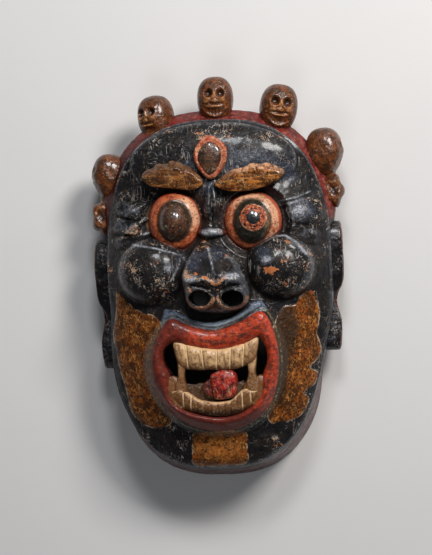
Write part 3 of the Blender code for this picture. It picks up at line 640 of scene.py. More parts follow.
# %% Cutting the mouth and the nostrils through
def prism(outline, lowest, highest, steps=24):
    """A closed outline carried straight up, with a lid at each end."""
    skin = Skin()
    middle = outline.mean(0)
    top = skin.put(*middle, highest)
    loops = [skin.put(outline[:, 0], outline[:, 1], z) for z in np.linspace(highest, lowest, steps)]
    skin.fan(loops[0], top)
    for upper, lower in zip(loops[:-1], loops[1:]):
        skin.wall(upper, lower)
    skin.fan(loops[-1], skin.put(*middle, lowest), -1)
    places = (np.vstack(skin.points) - MIDDLE) * MM
    mesh = skin.mesh("cutter")
    mesh.vertices.foreach_set("co", places.ravel())
    return mesh


def cut_through(mesh, cutters):
    """Takes each cutter's space out of a closed mesh and gives the new mesh."""
    block = bpy.data.objects.new("block", mesh)
    bpy.context.scene.collection.objects.link(block)
    tools = []
    for cutter in cutters:
        tool = bpy.data.objects.new("cutter", cutter)
        bpy.context.scene.collection.objects.link(tool)
        cut = block.modifiers.new("cut", "BOOLEAN")
        cut.operation = "DIFFERENCE"
        cut.solver = "MANIFOLD"
        cut.object = tool
        tools.append(tool)
    result = bpy.data.meshes.new_from_object(block.evaluated_get(bpy.context.evaluated_depsgraph_get()))
    for thing in (block, *tools):
        bpy.data.objects.remove(thing)
    result.name = "face"
    return result


def ellipse(centre, radii, count=64):
    turn = np.linspace(0, 2 * np.pi, count, endpoint=False)
    return np.stack([centre[0] + radii[0] * np.cos(turn), centre[1] + radii[1] * np.sin(turn)], -1)


mouth = prism(LIP_INNER, 30, 170)
nostrils = [prism(ellipse(centre, radii), 30, 170) for centre, radii in NOSTRILS]
face_mesh = cut_through(shell_skin().mesh("face"), [mouth, *nostrils])
face_mesh.shade_smooth()
print("the shell has", len(face_mesh.polygons), "faces after the cuts")

# %% [markdown]
# ## Where each paint lies
#
# The painter followed the carving, so the places of the colours are worked out from the same outlines
# as the relief. Each point of the face keeps its distance in millimetres to the edge of each colour,
# positive inside. The materials turn that distance into a brushed edge, which stays crisp between
# points. Wear is kept the same way: it is strong on ridges, and dirt is strong in the hollows. Patches
# of painted shade and painted highlight are kept the same way too.

# %% Distances to the painted edges
RUBBED = (
    ((53, 8), (8, 6), 1.5), ((65, -4), (8, 4), 1.0), ((70, 17), (6, 9), 0.8), ((-20, 7), (9, 3), 1.0),
    ((-58, 20), (8, 5), 0.9), ((-60, 6), (5, 10), 0.8),
)
WORN_LINES = (
    ((42.6, 36), (54, 41), (68, 42), (79, 34.5), (88, 23)), ((61.5, 76), (79, 79), (94, 85)),
    ((-83, 38), (-59, 33), (-35, 26), (-38, 13), (-46, 0)),
)
# Spots of paint rubbed to grey, and of painted highlight on the cheeks, the nose's wings, the temples' folds and the
# forehead.
GREY_AND_HIGHLIGHT_SPOTS = (
    ((50, 19), (7, 5), 1.4), ((-46, 13), (5, 6), 1.3), ((-24, 3), (6, 3), 1.3), ((14, 4), (7, 3), 1.3),
    ((83, 67), (10, 8), 1.7), ((85, 42), (11, 6), 0.7), ((-88, 72), (10, 5), 0.8), ((-91, 56), (10, 5), 0.8),
    ((-88, 40), (10, 5), 0.6), ((-40, 128), (30, 8), 0.4), ((36, 121), (28, 9), 0.9), ((-100, 20), (8, 40), 0.4),
    ((-4, 47), (12, 5), 0.8), ((18, 108), (8, 8), 0.5), ((-22, 112), (4, 12), 0.5),
)
# Spots of painted shade on the beards' gilt, beside the right cheek and over the left beard; the negative spot is
# painted light on the chin's gilt.
PAINTED_SHADE_AND_LIGHT = (
    ((66, -48), (13, 26), 1.25), ((57, -95), (8, 35), 1.15), ((-62, -85), (6, 50), 0.35), ((-85, -60), (30, 70), 0.4),
    ((-6, -164), (30, 22), -0.6),
)
SPECKLED = (
    ((-58, 6), (26, 24), 0.5), ((66, 4), (26, 26), 0.35), ((-30, 128), (40, 14), 0.5), ((-66, -150), (22, 14), 0.5),
    ((50, -152), (30, 14), 0.7), ((10, 146), (44, 8), 0.8),
    ((-88, 56), (12, 24), 0.3), ((88, 56), (12, 20), 0.15), ((0, -18), (26, 12), 0.4),
)
# Places of blue-grey paint, partly a painted blue sheen on the forehead, the nose's top, the right cheek and temple.
BLUE_AND_SHEEN_PLACES = (
    ((-24, 112), (7, 16)), ((18, 112), (10, 18)), ((40, 120), (26, 11)), ((70, 104), (12, 14)),
    ((-34, 18), (6, 20)), ((-22, 20), (10, 16)), ((2, 26), (12, 8)), ((-3, 92), (14, 7)), ((88, 66), (12, 10)),
    ((46, 26), (9, 7)),
)


def lip_share(x, y):
    """0 on the outer edge of the lips, 1 on the inner."""
    outer, inner = depth_inside(x, y, LIP_OUTER), depth_inside(x, y, LIP_INNER)
    return np.clip(outer / np.maximum(outer - inner, 0.001), 0, 1)


def face_values(points):
    """Signed distances to the edges of the colours, how worn or dirty each place is, and where painted shade and
    painted highlights lie.
    """
    x, y, z = points.T
    angle = np.arctan2(y - WIDEST_Y, x)
    outward = np.hypot(x, y - WIDEST_Y) - egg_reach(angle)
    front = np.minimum(z - 61, -outward - 0.6)
    lips = np.minimum(depth_inside(x, y, LIP_OUTER), z - 70)
    lip_line = depth_inside(x, y, LIP_OUTER) + 2.6
    gilt = np.max([depth_inside(x, y, loop) for loop in BEARDS], 0)
    tache = depth_inside(x, y, TACHE)
    tache_line = np.abs(path_distance(x, y, TACHE[10:18]))
    crown = np.minimum(outward + 0.6, np.where(x > 0, y - 58, y - 42) * 0.8)
    foot = np.minimum(44 - z, (-70 - y) * 0.35)
    band = np.where(outward > -0.6, np.maximum(crown, foot), -9)
    # painted shade on the band: darker towards the crown's left and all along the foot
    band_painted_shade = np.where(y > 0, ease(-x - y + 121, 22, 110), 0.5 + 0.2 * ease(-x, 20, 80))
    inside = np.hypot(x, y - WIDEST_Y) - (wall_reach(angle, z) - 3.0)
    under_dome = dome(x, y) - 7 - z
    bare = np.minimum(-inside, under_dome)
    ridge = from_map(fine_ridges, x, y) * (front > 0)
    broad = from_map(broad_ridges, x, y) * (front > 0)
    rubbed = sum(amount * bell(oval(x, y, centre, radii)) for centre, radii, amount in RUBBED) * (front > 0)
    rubbed = np.maximum(rubbed, 1.25 * bell(path_distance(x, y, TIP) / 2.8) * (z > 120))
    # painted shade on the lower and left parts of the lips
    dim_lip = np.clip(np.maximum((-y - 100) / 32, (-x - 36) / 18) - (x - 20) / 60, 0, 1)
    # painted shade on the beards, and painted light on the chin
    painted_shade_and_light = sum(dark * bell(oval(x, y, centre, radii)) for centre, radii, dark in PAINTED_SHADE_AND_LIGHT)
    around = np.min([np.abs(oval(x, y, centre, radii) - 1.3) for centre, radii in NOSTRILS], 0)
    nostril = bell(around / 0.2) * (z > 115) * ease(-y, 8, 22)
    ridge_line = bell(path_distance(x, y, NOSE_RIDGE) / 1.5) + 0.6 * bell(depth_inside(x, y, NOSE) / 1.6) * (y > -4)
    # blue-grey paint, partly a painted blue sheen
    blue_and_sheen = sum(bell(oval(x, y, centre, radii)) for centre, radii in BLUE_AND_SHEEN_PLACES)
    speckled = sum(amount * bell(oval(x, y, centre, radii)) for centre, radii, amount in SPECKLED) * (front > 0)
    # painted light on the moustache, where the nose casts its shadow
    tache_painted_light = bell((x + 2) / 24) * bell((y + 43) / 9)
    edge = np.abs(outward + 0.6) + np.clip(62 - z, 0, None)
    # worn grey, and painted highlights
    grey_and_highlight = sum(amount * bell(oval(x, y, centre, radii)) for centre, radii, amount in GREY_AND_HIGHLIGHT_SPOTS)
    grey_and_highlight = (grey_and_highlight + 1.3 * bell(np.min([path_distance(x, y, path) for path in WORN_LINES], 0) / 1.2)) * (front > 0)
    border = bell((oval(x, y, FOREHEAD[0], FOREHEAD[1]) - 0.985) / 0.018) * (front > 0) * (y > 95)
    worn = np.clip(0.35 * ridge + 0.05 * broad, 0, 1) + bell(edge / 1.2) * 0.7 + ridge_line + 0.7 * border
    dirt = np.clip(-0.3 * ridge - 0.06 * broad, 0, 1)
    return dict(
        lips=lips, lip_line=lip_line, gilt=np.minimum(gilt, front), tache=tache, tache_line=tache_line, band=band,
        bare=bare, speckled=speckled, tache_painted_light=tache_painted_light, grey_and_highlight=grey_and_highlight, band_painted_shade=band_painted_shade,
        worn=worn, dirt=dirt, rubbed=rubbed, painted_shade_and_light=painted_shade_and_light, nostril=nostril, blue_and_sheen=blue_and_sheen, face_edge=edge, high=z,
        lip_share=lip_share(x, y), lit=np.clip((x + y) / 220, -1, 1), dim_lip=dim_lip)


CREAM_PARTS = ((28, 0.9), (60, 1.6))


def eye_values(points):
    """Distances inside the two lids, the paler part of each, and the gap to the ball."""
    x, y, z = points.T
    lid = np.full(len(x), -99.0)
    gap = np.full(len(x), 99.0)
    cream = np.zeros(len(x))
    red = np.zeros(len(x))
    for (centre, radii, ball), (towards, spread), cheek in zip(EYES, CREAM_PARTS, CHEEKS):
        share = oval(x, y, centre, radii)
        over = cap(x, y, centre, radii, 108, 22, power=5) - cap(x, y, *cheek[:4])
        lid = np.maximum(lid, np.minimum((1 - share) * min(radii), 0.7 * over + 1.5))
        red = np.maximum(red, bell((share - 0.93) / 0.07))
        gap = np.minimum(gap, (oval(x, y, centre, ball) - 0.89) * min(ball))
        off = np.arctan2(y - centre[1], x - centre[0]) - np.radians(towards)
        off = np.arctan2(np.sin(off), np.cos(off))
        cream = np.maximum(cream, bell(off / spread) * (share < 0.97))
    return dict(lid=np.minimum(lid, z - 88), cream=cream, ball_gap=gap, lid_red=red)


face_points = read_points(face_mesh)
write_values(face_mesh, **face_values(face_points), **eye_values(face_points))
print("each point of the face keeps", len(face_mesh.attributes), "layers of numbers")

# %% [markdown]
# ## A small kit for painted finishes
#
# A painted and varnished surface is built in the order a painter works: wood, ground colour, paint,
# glaze, wear and dirt. Each layer is a mask and a colour laid over what is there, so the node graph is
# made by a few short helpers that each add one node and hand on its output.


# %% Node helpers
class Finish:
    """One material: adds nodes, and lays masked colours, roughness and height over each other."""

    def __init__(self, name, colour, roughness=0.4):
        self.material = bpy.data.materials.new(name)
        self.material.use_nodes = True
        self.tree = self.material.node_tree
        self.shader = self.tree.nodes["Principled BSDF"]
        self.place = self.node("ShaderNodeTexCoord").outputs["Object"]
        self.colour = colour
        self.roughness = roughness
        self.height = 0.0

    def feed(self, socket, source):
        """Links a socket, or sets a number or a colour on it."""
        if isinstance(source, bpy.types.NodeSocket):
            self.tree.links.new(source, socket)
        elif socket.type == "RGBA":
            socket.default_value = (*source, 1.0)
        else:
            socket.default_value = source

    def node(self, kind, inputs=(), **settings):
        """Adds a node; inputs are pairs of a socket's name or number and what feeds it."""
        made = self.tree.nodes.new(kind)
        for key, setting in settings.items():
            setattr(made, key, setting)
        for key, source in inputs:
            self.feed(made.inputs[key], source)
        return made

    def kept(self, name):
        """A number that the mesh keeps for each point."""
        return self.node("ShaderNodeAttribute", attribute_name=name).outputs["Fac"]

    def calc(self, operation, a, b=0.0):
        return self.node("ShaderNodeMath", ((0, a), (1, b)), operation=operation).outputs[0]

    def add(self, a, b):
        return self.calc("ADD", a, b)

    def times(self, a, b):
        return self.calc("MULTIPLY", a, b)

    def step(self, value, low, high, to_low=0.0, to_high=1.0):
        """A smooth step from to_low at low to to_high at high."""
        pairs = (("Value", value), ("From Min", low), ("From Max", high), ("To Min", to_low), ("To Max", to_high))
        return self.node("ShaderNodeMapRange", pairs, interpolation_type="SMOOTHSTEP").outputs[0]

    def stretched(self, stretch, turn=(0, 0, 0), shift=(0, 0, 0)):
        """The place on the piece, squeezed so that a pattern runs long in one direction."""
        pairs = (("Vector", self.place), ("Location", shift), ("Rotation", turn), ("Scale", stretch))
        return self.node("ShaderNodeMapping", pairs).outputs[0]

    def noise(self, grain, detail=3.0, rough=0.55, bend=0.0, where=None):
        """Cloudy numbers around a half; grain is the size of the clouds in millimetres."""
        pairs = (("Vector", where or self.place), ("Scale", 1000 / grain), ("Detail", detail),
                 ("Roughness", rough), ("Distortion", bend))
        return self.node("ShaderNodeTexNoise", pairs).outputs["Fac"]

    def ragged(self, grain, reach, detail=3.0):
        """Noise from about minus half of reach to plus half, added to a distance to make its edge uneven."""
        return self.times(self.add(self.noise(grain, detail), -0.5), reach)

    def cells(self, grain, where=None, feature="F1"):
        """Distance to the nearest of scattered dots, or to the border between their cells."""
        pairs = (("Vector", where or self.place), ("Scale", 1000 / grain))
        return self.node("ShaderNodeTexVoronoi", pairs, feature=feature).outputs["Distance"]

    def mix(self, mask, under, over):
        """Shows under where mask is 0 and over where it is 1; each is a socket, a number or a colour."""
        socket = isinstance(under, bpy.types.NodeSocket)
        number = under.type == "VALUE" if socket else isinstance(under, float)
        kind, first = ("FLOAT", 2) if number else ("RGBA", 6)
        pairs = ((0, mask), (first, under), (first + 1, over))
        return self.node("ShaderNodeMix", pairs, data_type=kind).outputs[0 if number else 2]

    def lay(self, mask, colour, roughness=None, height=0.0):
        """Lays a colour over what is there, where mask is 1; height raises it by millimetres."""
        self.colour = self.mix(mask, self.colour, colour)
        if roughness is not None:
            self.roughness = self.mix(mask, self.roughness, roughness)
        if height:
            self.height = self.add(self.height, self.times(mask, height))

    def done(self, coat=0.35, coat_rough=0.22, metal=0.0, gloss=0.3):
        """Joins the layers to the shader, with the height as fine bumps under a varnish."""
        self.feed(self.shader.inputs["Base Color"], self.colour)
        self.feed(self.shader.inputs["Roughness"], self.roughness)
        if isinstance(self.height, bpy.types.NodeSocket):
            pairs = (("Strength", 1.0), ("Distance", 0.001), ("Height", self.height))
            self.feed(self.shader.inputs["Normal"], self.node("ShaderNodeBump", pairs).outputs[0])
        self.shader.inputs["Coat Weight"].default_value = coat
        self.shader.inputs["Coat Roughness"].default_value = coat_rough
        self.shader.inputs["Metallic"].default_value = metal
        self.shader.inputs["Specular IOR Level"].default_value = gloss
        return self.material


# %% Colours of the paints and of the wood
BLACK = (0.006, 0.0062, 0.0075)
BROWN_BLACK = (0.016, 0.0105, 0.008)
BLUE_GREY = (0.038, 0.045, 0.065)
SLATE = (0.1, 0.107, 0.125)
TACHE_BLUE = (0.13, 0.165, 0.22)
RED = (0.4, 0.042, 0.014)
DULL_RED = (0.14, 0.018, 0.01)
BAND_RED = (0.15, 0.012, 0.008)
# a pale pink that is laid as a painted highlight on the band and on the tongue
SHEEN_PINK = (0.3, 0.095, 0.07)
ORANGE = (0.42, 0.1, 0.035)
PEACH = (0.55, 0.27, 0.15)
CREAM = (0.62, 0.42, 0.24)
IVORY = (0.5, 0.31, 0.15)
TOOTH_BROWN = (0.13, 0.05, 0.016)
GOLD = (0.22, 0.052, 0.005)
GOLD_DARK = (0.045, 0.014, 0.003)
GOLD_PALE = (0.5, 0.2, 0.04)
CLAY = (0.44, 0.14, 0.045)
TAN = (0.42, 0.3, 0.2)
BONE_WHITE = (0.4, 0.36, 0.32)
SKULL = (0.115, 0.034, 0.009)
SKULL_LIGHT = (0.36, 0.15, 0.05)
SKULL_DARK = (0.022, 0.009, 0.004)
WOOD = (0.24, 0.13, 0.062)
WOOD_DARK = (0.08, 0.038, 0.017)
OLIVE = (0.035, 0.033, 0.014)
DIRT = (0.008, 0.0055, 0.0045)


# %% [markdown]
# ## Finishes that several pieces share
#
# Old varnished paint has three marks that repeat everywhere: specks where it flaked off to the wood,
# hair-fine scratches, and a web of cracks. Each is one short function, used with its own strength on
# each piece.

# %% Specks, scratches and cracks
def specks(finish, amount=1.0, colour=TAN, deep=CLAY, worn=None, grain=2.6, least=0.685):
    """Flakes where fine noise is highest, gathered in clouds, and more of them where it is worn."""
    level = finish.times(finish.add(finish.noise(30, 2.0), -0.5), 0.6 * amount)
    if worn is not None:
        level = finish.add(level, finish.times(worn, 0.15))
    total = finish.add(finish.noise(grain, 3.0, 0.7), level)
    flakes = finish.step(total, least, least + 0.03)
    tint = finish.mix(finish.step(finish.noise(6, 1.0), 0.45, 0.6), colour, deep)
    finish.lay(finish.times(flakes, 0.9), tint, 0.65, -0.15)


def scratches(finish, strength=0.6, colour=TAN, least=0.52):
    """Thin lines where a stretched noise crosses its middle, kept only in scattered clouds."""
    for turn, shift in (((0.2, 0.3, 0.5), (0, 0, 0)), ((0.1, -0.2, -0.9), (1, 2, 3))):
        long_way = finish.stretched((1, 0.16, 0.5), turn, shift)
        line = finish.calc("ABSOLUTE", finish.add(finish.noise(5, 1.0, where=long_way), -0.5))
        near = finish.stretched((1, 1, 1), shift=shift)
        some = finish.step(finish.noise(13, 1.0, where=near), least, least + 0.08)
        mask = finish.times(finish.step(line, 0.022, 0.004), some)
        finish.lay(finish.times(mask, strength), colour, 0.6, -0.08)


def curls(finish, strength=0.6, colour=TAN, size=7.0, width=0.016, least=0.5):
    """Curling lines where a bent noise crosses its middle, broken up by clouds."""
    line = finish.calc("ABSOLUTE", finish.add(finish.noise(size, 1.5, 0.6, 1.2), -0.5))
    some = finish.step(finish.noise(1.6 * size, 2.0), least, least + 0.07)
    finish.lay(finish.times(finish.times(finish.step(line, width, 0.3 * width), some), strength), colour, 0.6, -0.08)


def cracks(finish, strength=0.5, colour=TAN, size=9):
    """A web: the borders between the cells around scattered dots, broken up by noise."""
    wobble = finish.node("ShaderNodeTexNoise", (("Vector", finish.place), ("Scale", 90.0)))
    pull = finish.node("ShaderNodeVectorMath", ((0, wobble.outputs["Color"]), ("Scale", 0.006)), operation="SCALE")
    bent = finish.node("ShaderNodeVectorMath", ((0, finish.place), (1, pull.outputs[0])), operation="ADD")
    border = finish.cells(size, bent.outputs[0], "DISTANCE_TO_EDGE")
    some = finish.step(finish.noise(22, 2.0), 0.5, 0.6)
    mask = finish.times(finish.step(border, 0.045, 0.01), some)
    finish.lay(finish.times(mask, strength), colour, 0.55, -0.1)


def brush_marks(finish, rough=1.0):
    """Streaks, orange peel and dents in the paint, in millimetres, which break up the gloss."""
    streaks = finish.noise(2.2, 2.0, where=finish.stretched((1, 0.25, 1)))
    peel = finish.noise(3.2, 2.0, 0.55)
    waves = finish.noise(7, 2.0)
    total = finish.add(finish.times(streaks, 0.2 * rough), finish.times(peel, 0.65 * rough))
    finish.height = finish.add(finish.height, finish.add(total, finish.times(waves, 1.5 * rough)))


def roughened(finish, low=0.3, high=0.5):
    """The varnish is dull in clouds and glossy between them."""
    finish.roughness = finish.step(finish.noise(11, 3.0), 0.35, 0.65, low, high)


# %% Gilt, mottled with brown glaze
def gilt_colours(finish):
    """Ochre gilding under brown glaze, scored all over with fine curling strokes that shine through."""
    colour = finish.mix(finish.step(finish.noise(12, 3.0), 0.38, 0.62), GOLD_DARK, GOLD)
    colour = finish.mix(finish.step(finish.noise(2.6, 3.0, 0.65), 0.56, 0.44), colour, GOLD_DARK)
    for size, shift in ((3.0, (0, 0, 0)), (4.4, (4, 1, 2))):
        place = finish.stretched((1, 0.6, 1), (0, 0, 0.4), shift)
        line = finish.calc("ABSOLUTE", finish.add(finish.noise(size, 1.0, 0.5, 1.0, place), -0.5))
        some = finish.step(finish.noise(9, 2.0, where=finish.stretched((1, 1, 1), shift=shift)), 0.44, 0.58)
        mask = finish.times(finish.step(line, 0.035, 0.012), some)
        colour = finish.mix(finish.times(mask, 0.8), colour, GOLD_PALE)
        finish.height = finish.add(finish.height, finish.times(mask, 0.2))
    return colour


# %% [markdown]
# ## The painted face
#
# The face has every paint on one skin, so its material is the longest: blue-black paint rubbed to
# blue-grey with a painted blue sheen, gilt beards, red lips and band, orange lids, then wear, flakes and
# dirt over all of them, patches of painted shade and painted highlight, and bare wood inside.

# %% The face's material
def dark_layers(f, ragged, rubbing):
    """Blue-black paint: warm black under blue-grey paint and a painted blue sheen, rubbed to slate with painted
    highlights, painted shade on the side wall, curling cracks and flakes.
    """
    f.lay(f.step(f.noise(9, 4.0, 0.65), 0.42, 0.62), BROWN_BLACK)
    # blue-grey paint, partly a painted blue sheen
    blue_and_sheen_mask = f.add(f.kept("blue_and_sheen"), f.ragged(10, 1.5, 4.0))
    f.lay(f.step(blue_and_sheen_mask, 0.2, 0.9, 0.0, 0.9), BLUE_GREY)
    # worn paint rubbed to slate, and painted highlights; the palest grey is a painted highlight
    grey_and_highlight = f.add(f.add(f.kept("worn"), f.kept("grey_and_highlight")), f.ragged(5, 1.7, 4.0))
    f.lay(f.step(grey_and_highlight, 0.45, 0.95, 0.0, 0.75), SLATE)
    f.lay(f.step(grey_and_highlight, 1.05, 1.5, 0.0, 0.9), (0.33, 0.34, 0.37))
    edge = f.step(f.add(f.kept("face_edge"), f.times(ragged, 0.5)), 2.6, 0.6)
    f.lay(f.times(edge, 0.6), SLATE)
    # the side wall below the face's edge goes near-black: its black paint, and painted shade
    f.lay(f.step(f.kept("high"), 61.5, 57.0), (0.008, 0.0075, 0.008))
    f.lay(f.times(f.step(f.noise(2.0, 3.0, 0.7), 0.56, 0.46), 0.6), (0.004, 0.004, 0.0045))
    curls(f, 0.8, BONE_WHITE, 10.0, 0.01, 0.54)
    curls(f, 0.6, TAN, 6.0, 0.012, 0.58)
    specks(f, 1.0, BONE_WHITE, TAN, rubbing, 1.8, 0.76)
    specks(f, 1.4, TAN, CLAY, rubbing, 3.4, 0.765)
    scratches(f, 0.6, BONE_WHITE, 0.58)


def red_layers(f, ragged):
    """The carved line around the lips, the lips with a worn streak and painted shade below and on the left, the band
    and the rim with a painted pink sheen on top and painted shade.
    """
    green = f.calc("ABSOLUTE", f.add(f.kept("lip_line"), f.times(ragged, 0.25)))
    dotted = f.mix(f.step(f.noise(2.4, 3.0, 0.7), 0.5, 0.58), OLIVE, (0.2, 0.16, 0.09))
    f.lay(f.times(f.step(green, 1.3, 0.4), 0.8), dotted)
    lips = f.step(f.add(f.kept("lips"), f.times(ragged, 0.35)), -0.3, 0.5)
    red = f.mix(f.step(f.noise(6, 4.0, 0.6), 0.36, 0.6), DULL_RED, RED)
    strokes = f.noise(2.4, 3.0, 0.65, where=f.stretched((0.35, 1, 1)))
    red = f.mix(f.times(f.step(strokes, 0.56, 0.66), 0.5), red, (0.5, 0.13, 0.05))
    red = f.mix(f.times(f.step(strokes, 0.44, 0.32), 0.45), red, (0.06, 0.014, 0.009))
    f.lay(lips, red, 0.5)
    # painted shade on the lower and left parts of the lips
    dim = f.add(f.kept("dim_lip"), f.ragged(9, 0.7))
    f.lay(f.times(lips, f.step(dim, 0.1, 1.0, 0.0, 0.8)), (0.07, 0.012, 0.008))
    across = f.calc("ABSOLUTE", f.add(f.add(f.kept("lip_share"), f.ragged(14, 0.5)), -0.6))
    streak = f.times(f.step(across, 0.16, 0.03), f.step(f.noise(13, 3.0), 0.42, 0.6))
    streak = f.times(streak, f.step(f.kept("dim_lip"), 0.6, 0.1))
    f.lay(f.times(f.times(streak, lips), 0.75), (0.03, 0.014, 0.01))
    band = f.step(f.add(f.kept("band"), f.times(ragged, 0.4)), -0.2, 0.6)
    reds = f.mix(f.step(f.noise(6, 4.0, 0.65), 0.36, 0.62), (0.05, 0.008, 0.006), BAND_RED)
    f.lay(band, reds, 0.5)
    # a mottled painted pink sheen on the band's top, strongest on its lit side
    band_sheen = f.times(f.step(f.kept("high"), 50, 60), f.step(f.noise(5, 4.0, 0.6), 0.46, 0.66, 0.0, 0.75))
    band_sheen = f.times(band_sheen, f.step(f.kept("lit"), 0.2, 1.0, 0.1, 0.8))
    f.lay(f.times(band, band_sheen), SHEEN_PINK, 0.55)
    # painted shade on the band
    f.lay(f.times(band, f.times(f.kept("band_painted_shade"), 0.8)), (0.035, 0.006, 0.005))


def lid_layers(f, ragged):
    """Orange lids, paler towards one side, speckled, dark at their edge, with a painted highlight round their lit side
    and painted shade beside the ball.
    """
    lid = f.step(f.add(f.kept("lid"), f.times(ragged, 0.4)), 0.6, 1.6)
    lids = f.mix(f.step(f.noise(5, 4.0, 0.65), 0.34, 0.54), (0.2, 0.03, 0.012), ORANGE)
    f.lay(lid, lids, 0.5)
    pale = f.step(f.add(f.kept("cream"), f.ragged(4, 1.9, 4.0)), 0.15, 0.75)
    f.lay(f.times(f.times(pale, lid), 0.9), (0.58, 0.31, 0.18), 0.5)
    speckled = f.times(f.step(f.noise(2.8, 3.0, 0.7), 0.54, 0.62), lid)
    f.lay(f.times(speckled, 0.8), (0.1, 0.03, 0.013))
    outer = f.step(f.add(f.kept("lid_red"), f.ragged(6, 1.2)), 0.35, 0.8)
    f.lay(f.times(f.times(outer, lid), 0.85), (0.36, 0.045, 0.016))
    # a painted highlight along the lids' outer edge, on their lit side only
    outline = f.calc("ABSOLUTE", f.add(f.add(f.kept("lid"), f.times(ragged, 0.25)), 1.4))
    outline = f.times(f.step(outline, 0.9, 0.3), f.step(f.kept("lit"), 0.25, 0.45))
    f.lay(f.times(f.times(outline, f.step(f.noise(3, 3.0), 0.4, 0.52)), 0.7), (0.25, 0.22, 0.2))
    lid_rim = f.calc("ABSOLUTE", f.add(f.kept("lid"), f.times(ragged, 0.3)))
    f.lay(f.times(f.step(lid_rim, 1.7, 0.3), 0.85), (0.05, 0.018, 0.012))
    # painted shade in the gap beside the ball
    near_ball = f.step(f.add(f.kept("ball_gap"), f.times(ragged, 0.5)), 3.4, 0.8)
    f.lay(f.times(near_ball, 0.9), (0.014, 0.013, 0.008))


def face_paint():
    f = Finish("face_paint", BLACK)
    ragged = f.ragged(4, 5.0)
    rubbed = f.kept("rubbed")
    rubbing = f.add(f.kept("worn"), f.times(rubbed, 0.6))
    dark_layers(f, ragged, f.add(rubbing, f.times(f.kept("speckled"), 0.9)))
    dots = f.times(f.step(f.kept("nostril"), 0.3, 0.7), f.step(f.noise(3, 4.0, 0.7), 0.42, 0.5))
    f.lay(f.times(dots, 0.95), f.mix(f.step(f.noise(5, 2.0), 0.4, 0.6), CLAY, TAN), 0.5)
    tache = f.step(f.add(f.kept("tache"), f.times(ragged, 0.3)), -0.9, 0.4)
    f.lay(f.times(tache, 0.95), f.mix(f.step(f.noise(3, 3.0, 0.65), 0.36, 0.56), BLUE_GREY, TACHE_BLUE), 0.5)
    # painted light on the moustache's middle, under the nose
    f.lay(f.times(f.times(tache, f.kept("tache_painted_light")), 0.85), (0.42, 0.49, 0.58))
    dashes = f.times(f.step(f.kept("tache_line"), 1.3, 0.4), f.step(f.noise(3, 2.0, 0.7), 0.46, 0.54))
    f.lay(f.times(dashes, 0.9), BONE_WHITE)
    gilt = f.step(f.add(f.kept("gilt"), f.times(ragged, 0.5)), -0.4, 0.5)
    f.lay(gilt, gilt_colours(f), 0.5, 0.1)
    # painted shade over the beards' gilt
    gilt_painted_shade = f.step(f.add(f.kept("painted_shade_and_light"), f.ragged(6, 0.9, 4.0)), 0.25, 0.9, 0.0, 0.85)
    f.lay(f.times(gilt_painted_shade, gilt), (0.017, 0.009, 0.003))
    # painted light on the chin's gilt
    chin_painted_light = f.times(f.step(f.kept("painted_shade_and_light"), -0.1, -0.7), f.step(f.noise(4, 3.0, 0.6), 0.4, 0.56))
    f.lay(f.times(f.times(chin_painted_light, gilt), 0.6), (0.46, 0.16, 0.03))
    rimmed = f.calc("ABSOLUTE", f.add(f.kept("gilt"), f.times(ragged, 0.4)))
    rim_parts = f.step(f.noise(9, 2.0), 0.46, 0.6)
    f.lay(f.times(f.times(f.step(rimmed, 0.9, 0.2), rim_parts), 0.8), TAN)
    red_layers(f, ragged)
    lid_layers(f, ragged)

    specks(f, 0.9, TAN, DIRT, None, 2.2, 0.74)
    bare_spot = f.add(f.times(rubbed, 0.8), f.ragged(5, 1.8, 4.0))
    f.lay(f.times(f.step(bare_spot, 0.74, 0.84), 0.9), CLAY, 0.55, -0.15)
    dirty = f.step(f.add(f.times(f.kept("dirt"), 0.9), f.times(ragged, 0.06)), 0.12, 0.7)
    f.lay(f.times(dirty, f.mix(gilt, 0.85, 0.35)), DIRT, 0.65)

    grain = f.noise(3, 3.0, where=f.stretched((1, 0.09, 1)))
    wood = f.mix(f.step(grain, 0.35, 0.65), WOOD_DARK, WOOD)
    wood = f.mix(f.step(f.noise(40, 3.0), 0.4, 0.7, 0.0, 0.7), wood, WOOD_DARK)
    bare = f.step(f.add(f.kept("bare"), f.times(ragged, 0.5)), -0.5, 1.0)
    brush_marks(f)
    roughened(f, 0.36, 0.6)
    f.lay(bare, wood, 0.8)
    return f.done(coat=0.3, coat_rough=0.17, gloss=0.2)


face = piece("face", face_mesh, face_paint(), 45)

# %% [markdown]
# ## Cushions: brows, third eye and tongue
#
# Some forms stand up sharply from the dome and throw a shadow, so each is its own closed piece, sunk
# into the block like a plug. Its outline is drawn with a few points around its own middle, and its
# section is a superellipse, round on top and steep at the side.

# %% A cushion over an outline
def reach_of(outline):
    """The middle of an outline and its distance from there as a function of direction."""
    middle = outline.mean(0)
    turned = outline - middle
    angles = np.arctan2(turned[:, 1], turned[:, 0])
    order = np.argsort(angles)
    reaches = np.hypot(turned[:, 0], turned[:, 1])[order]
    return middle, lambda angle: np.interp(angle, angles[order], reaches, period=2 * np.pi)


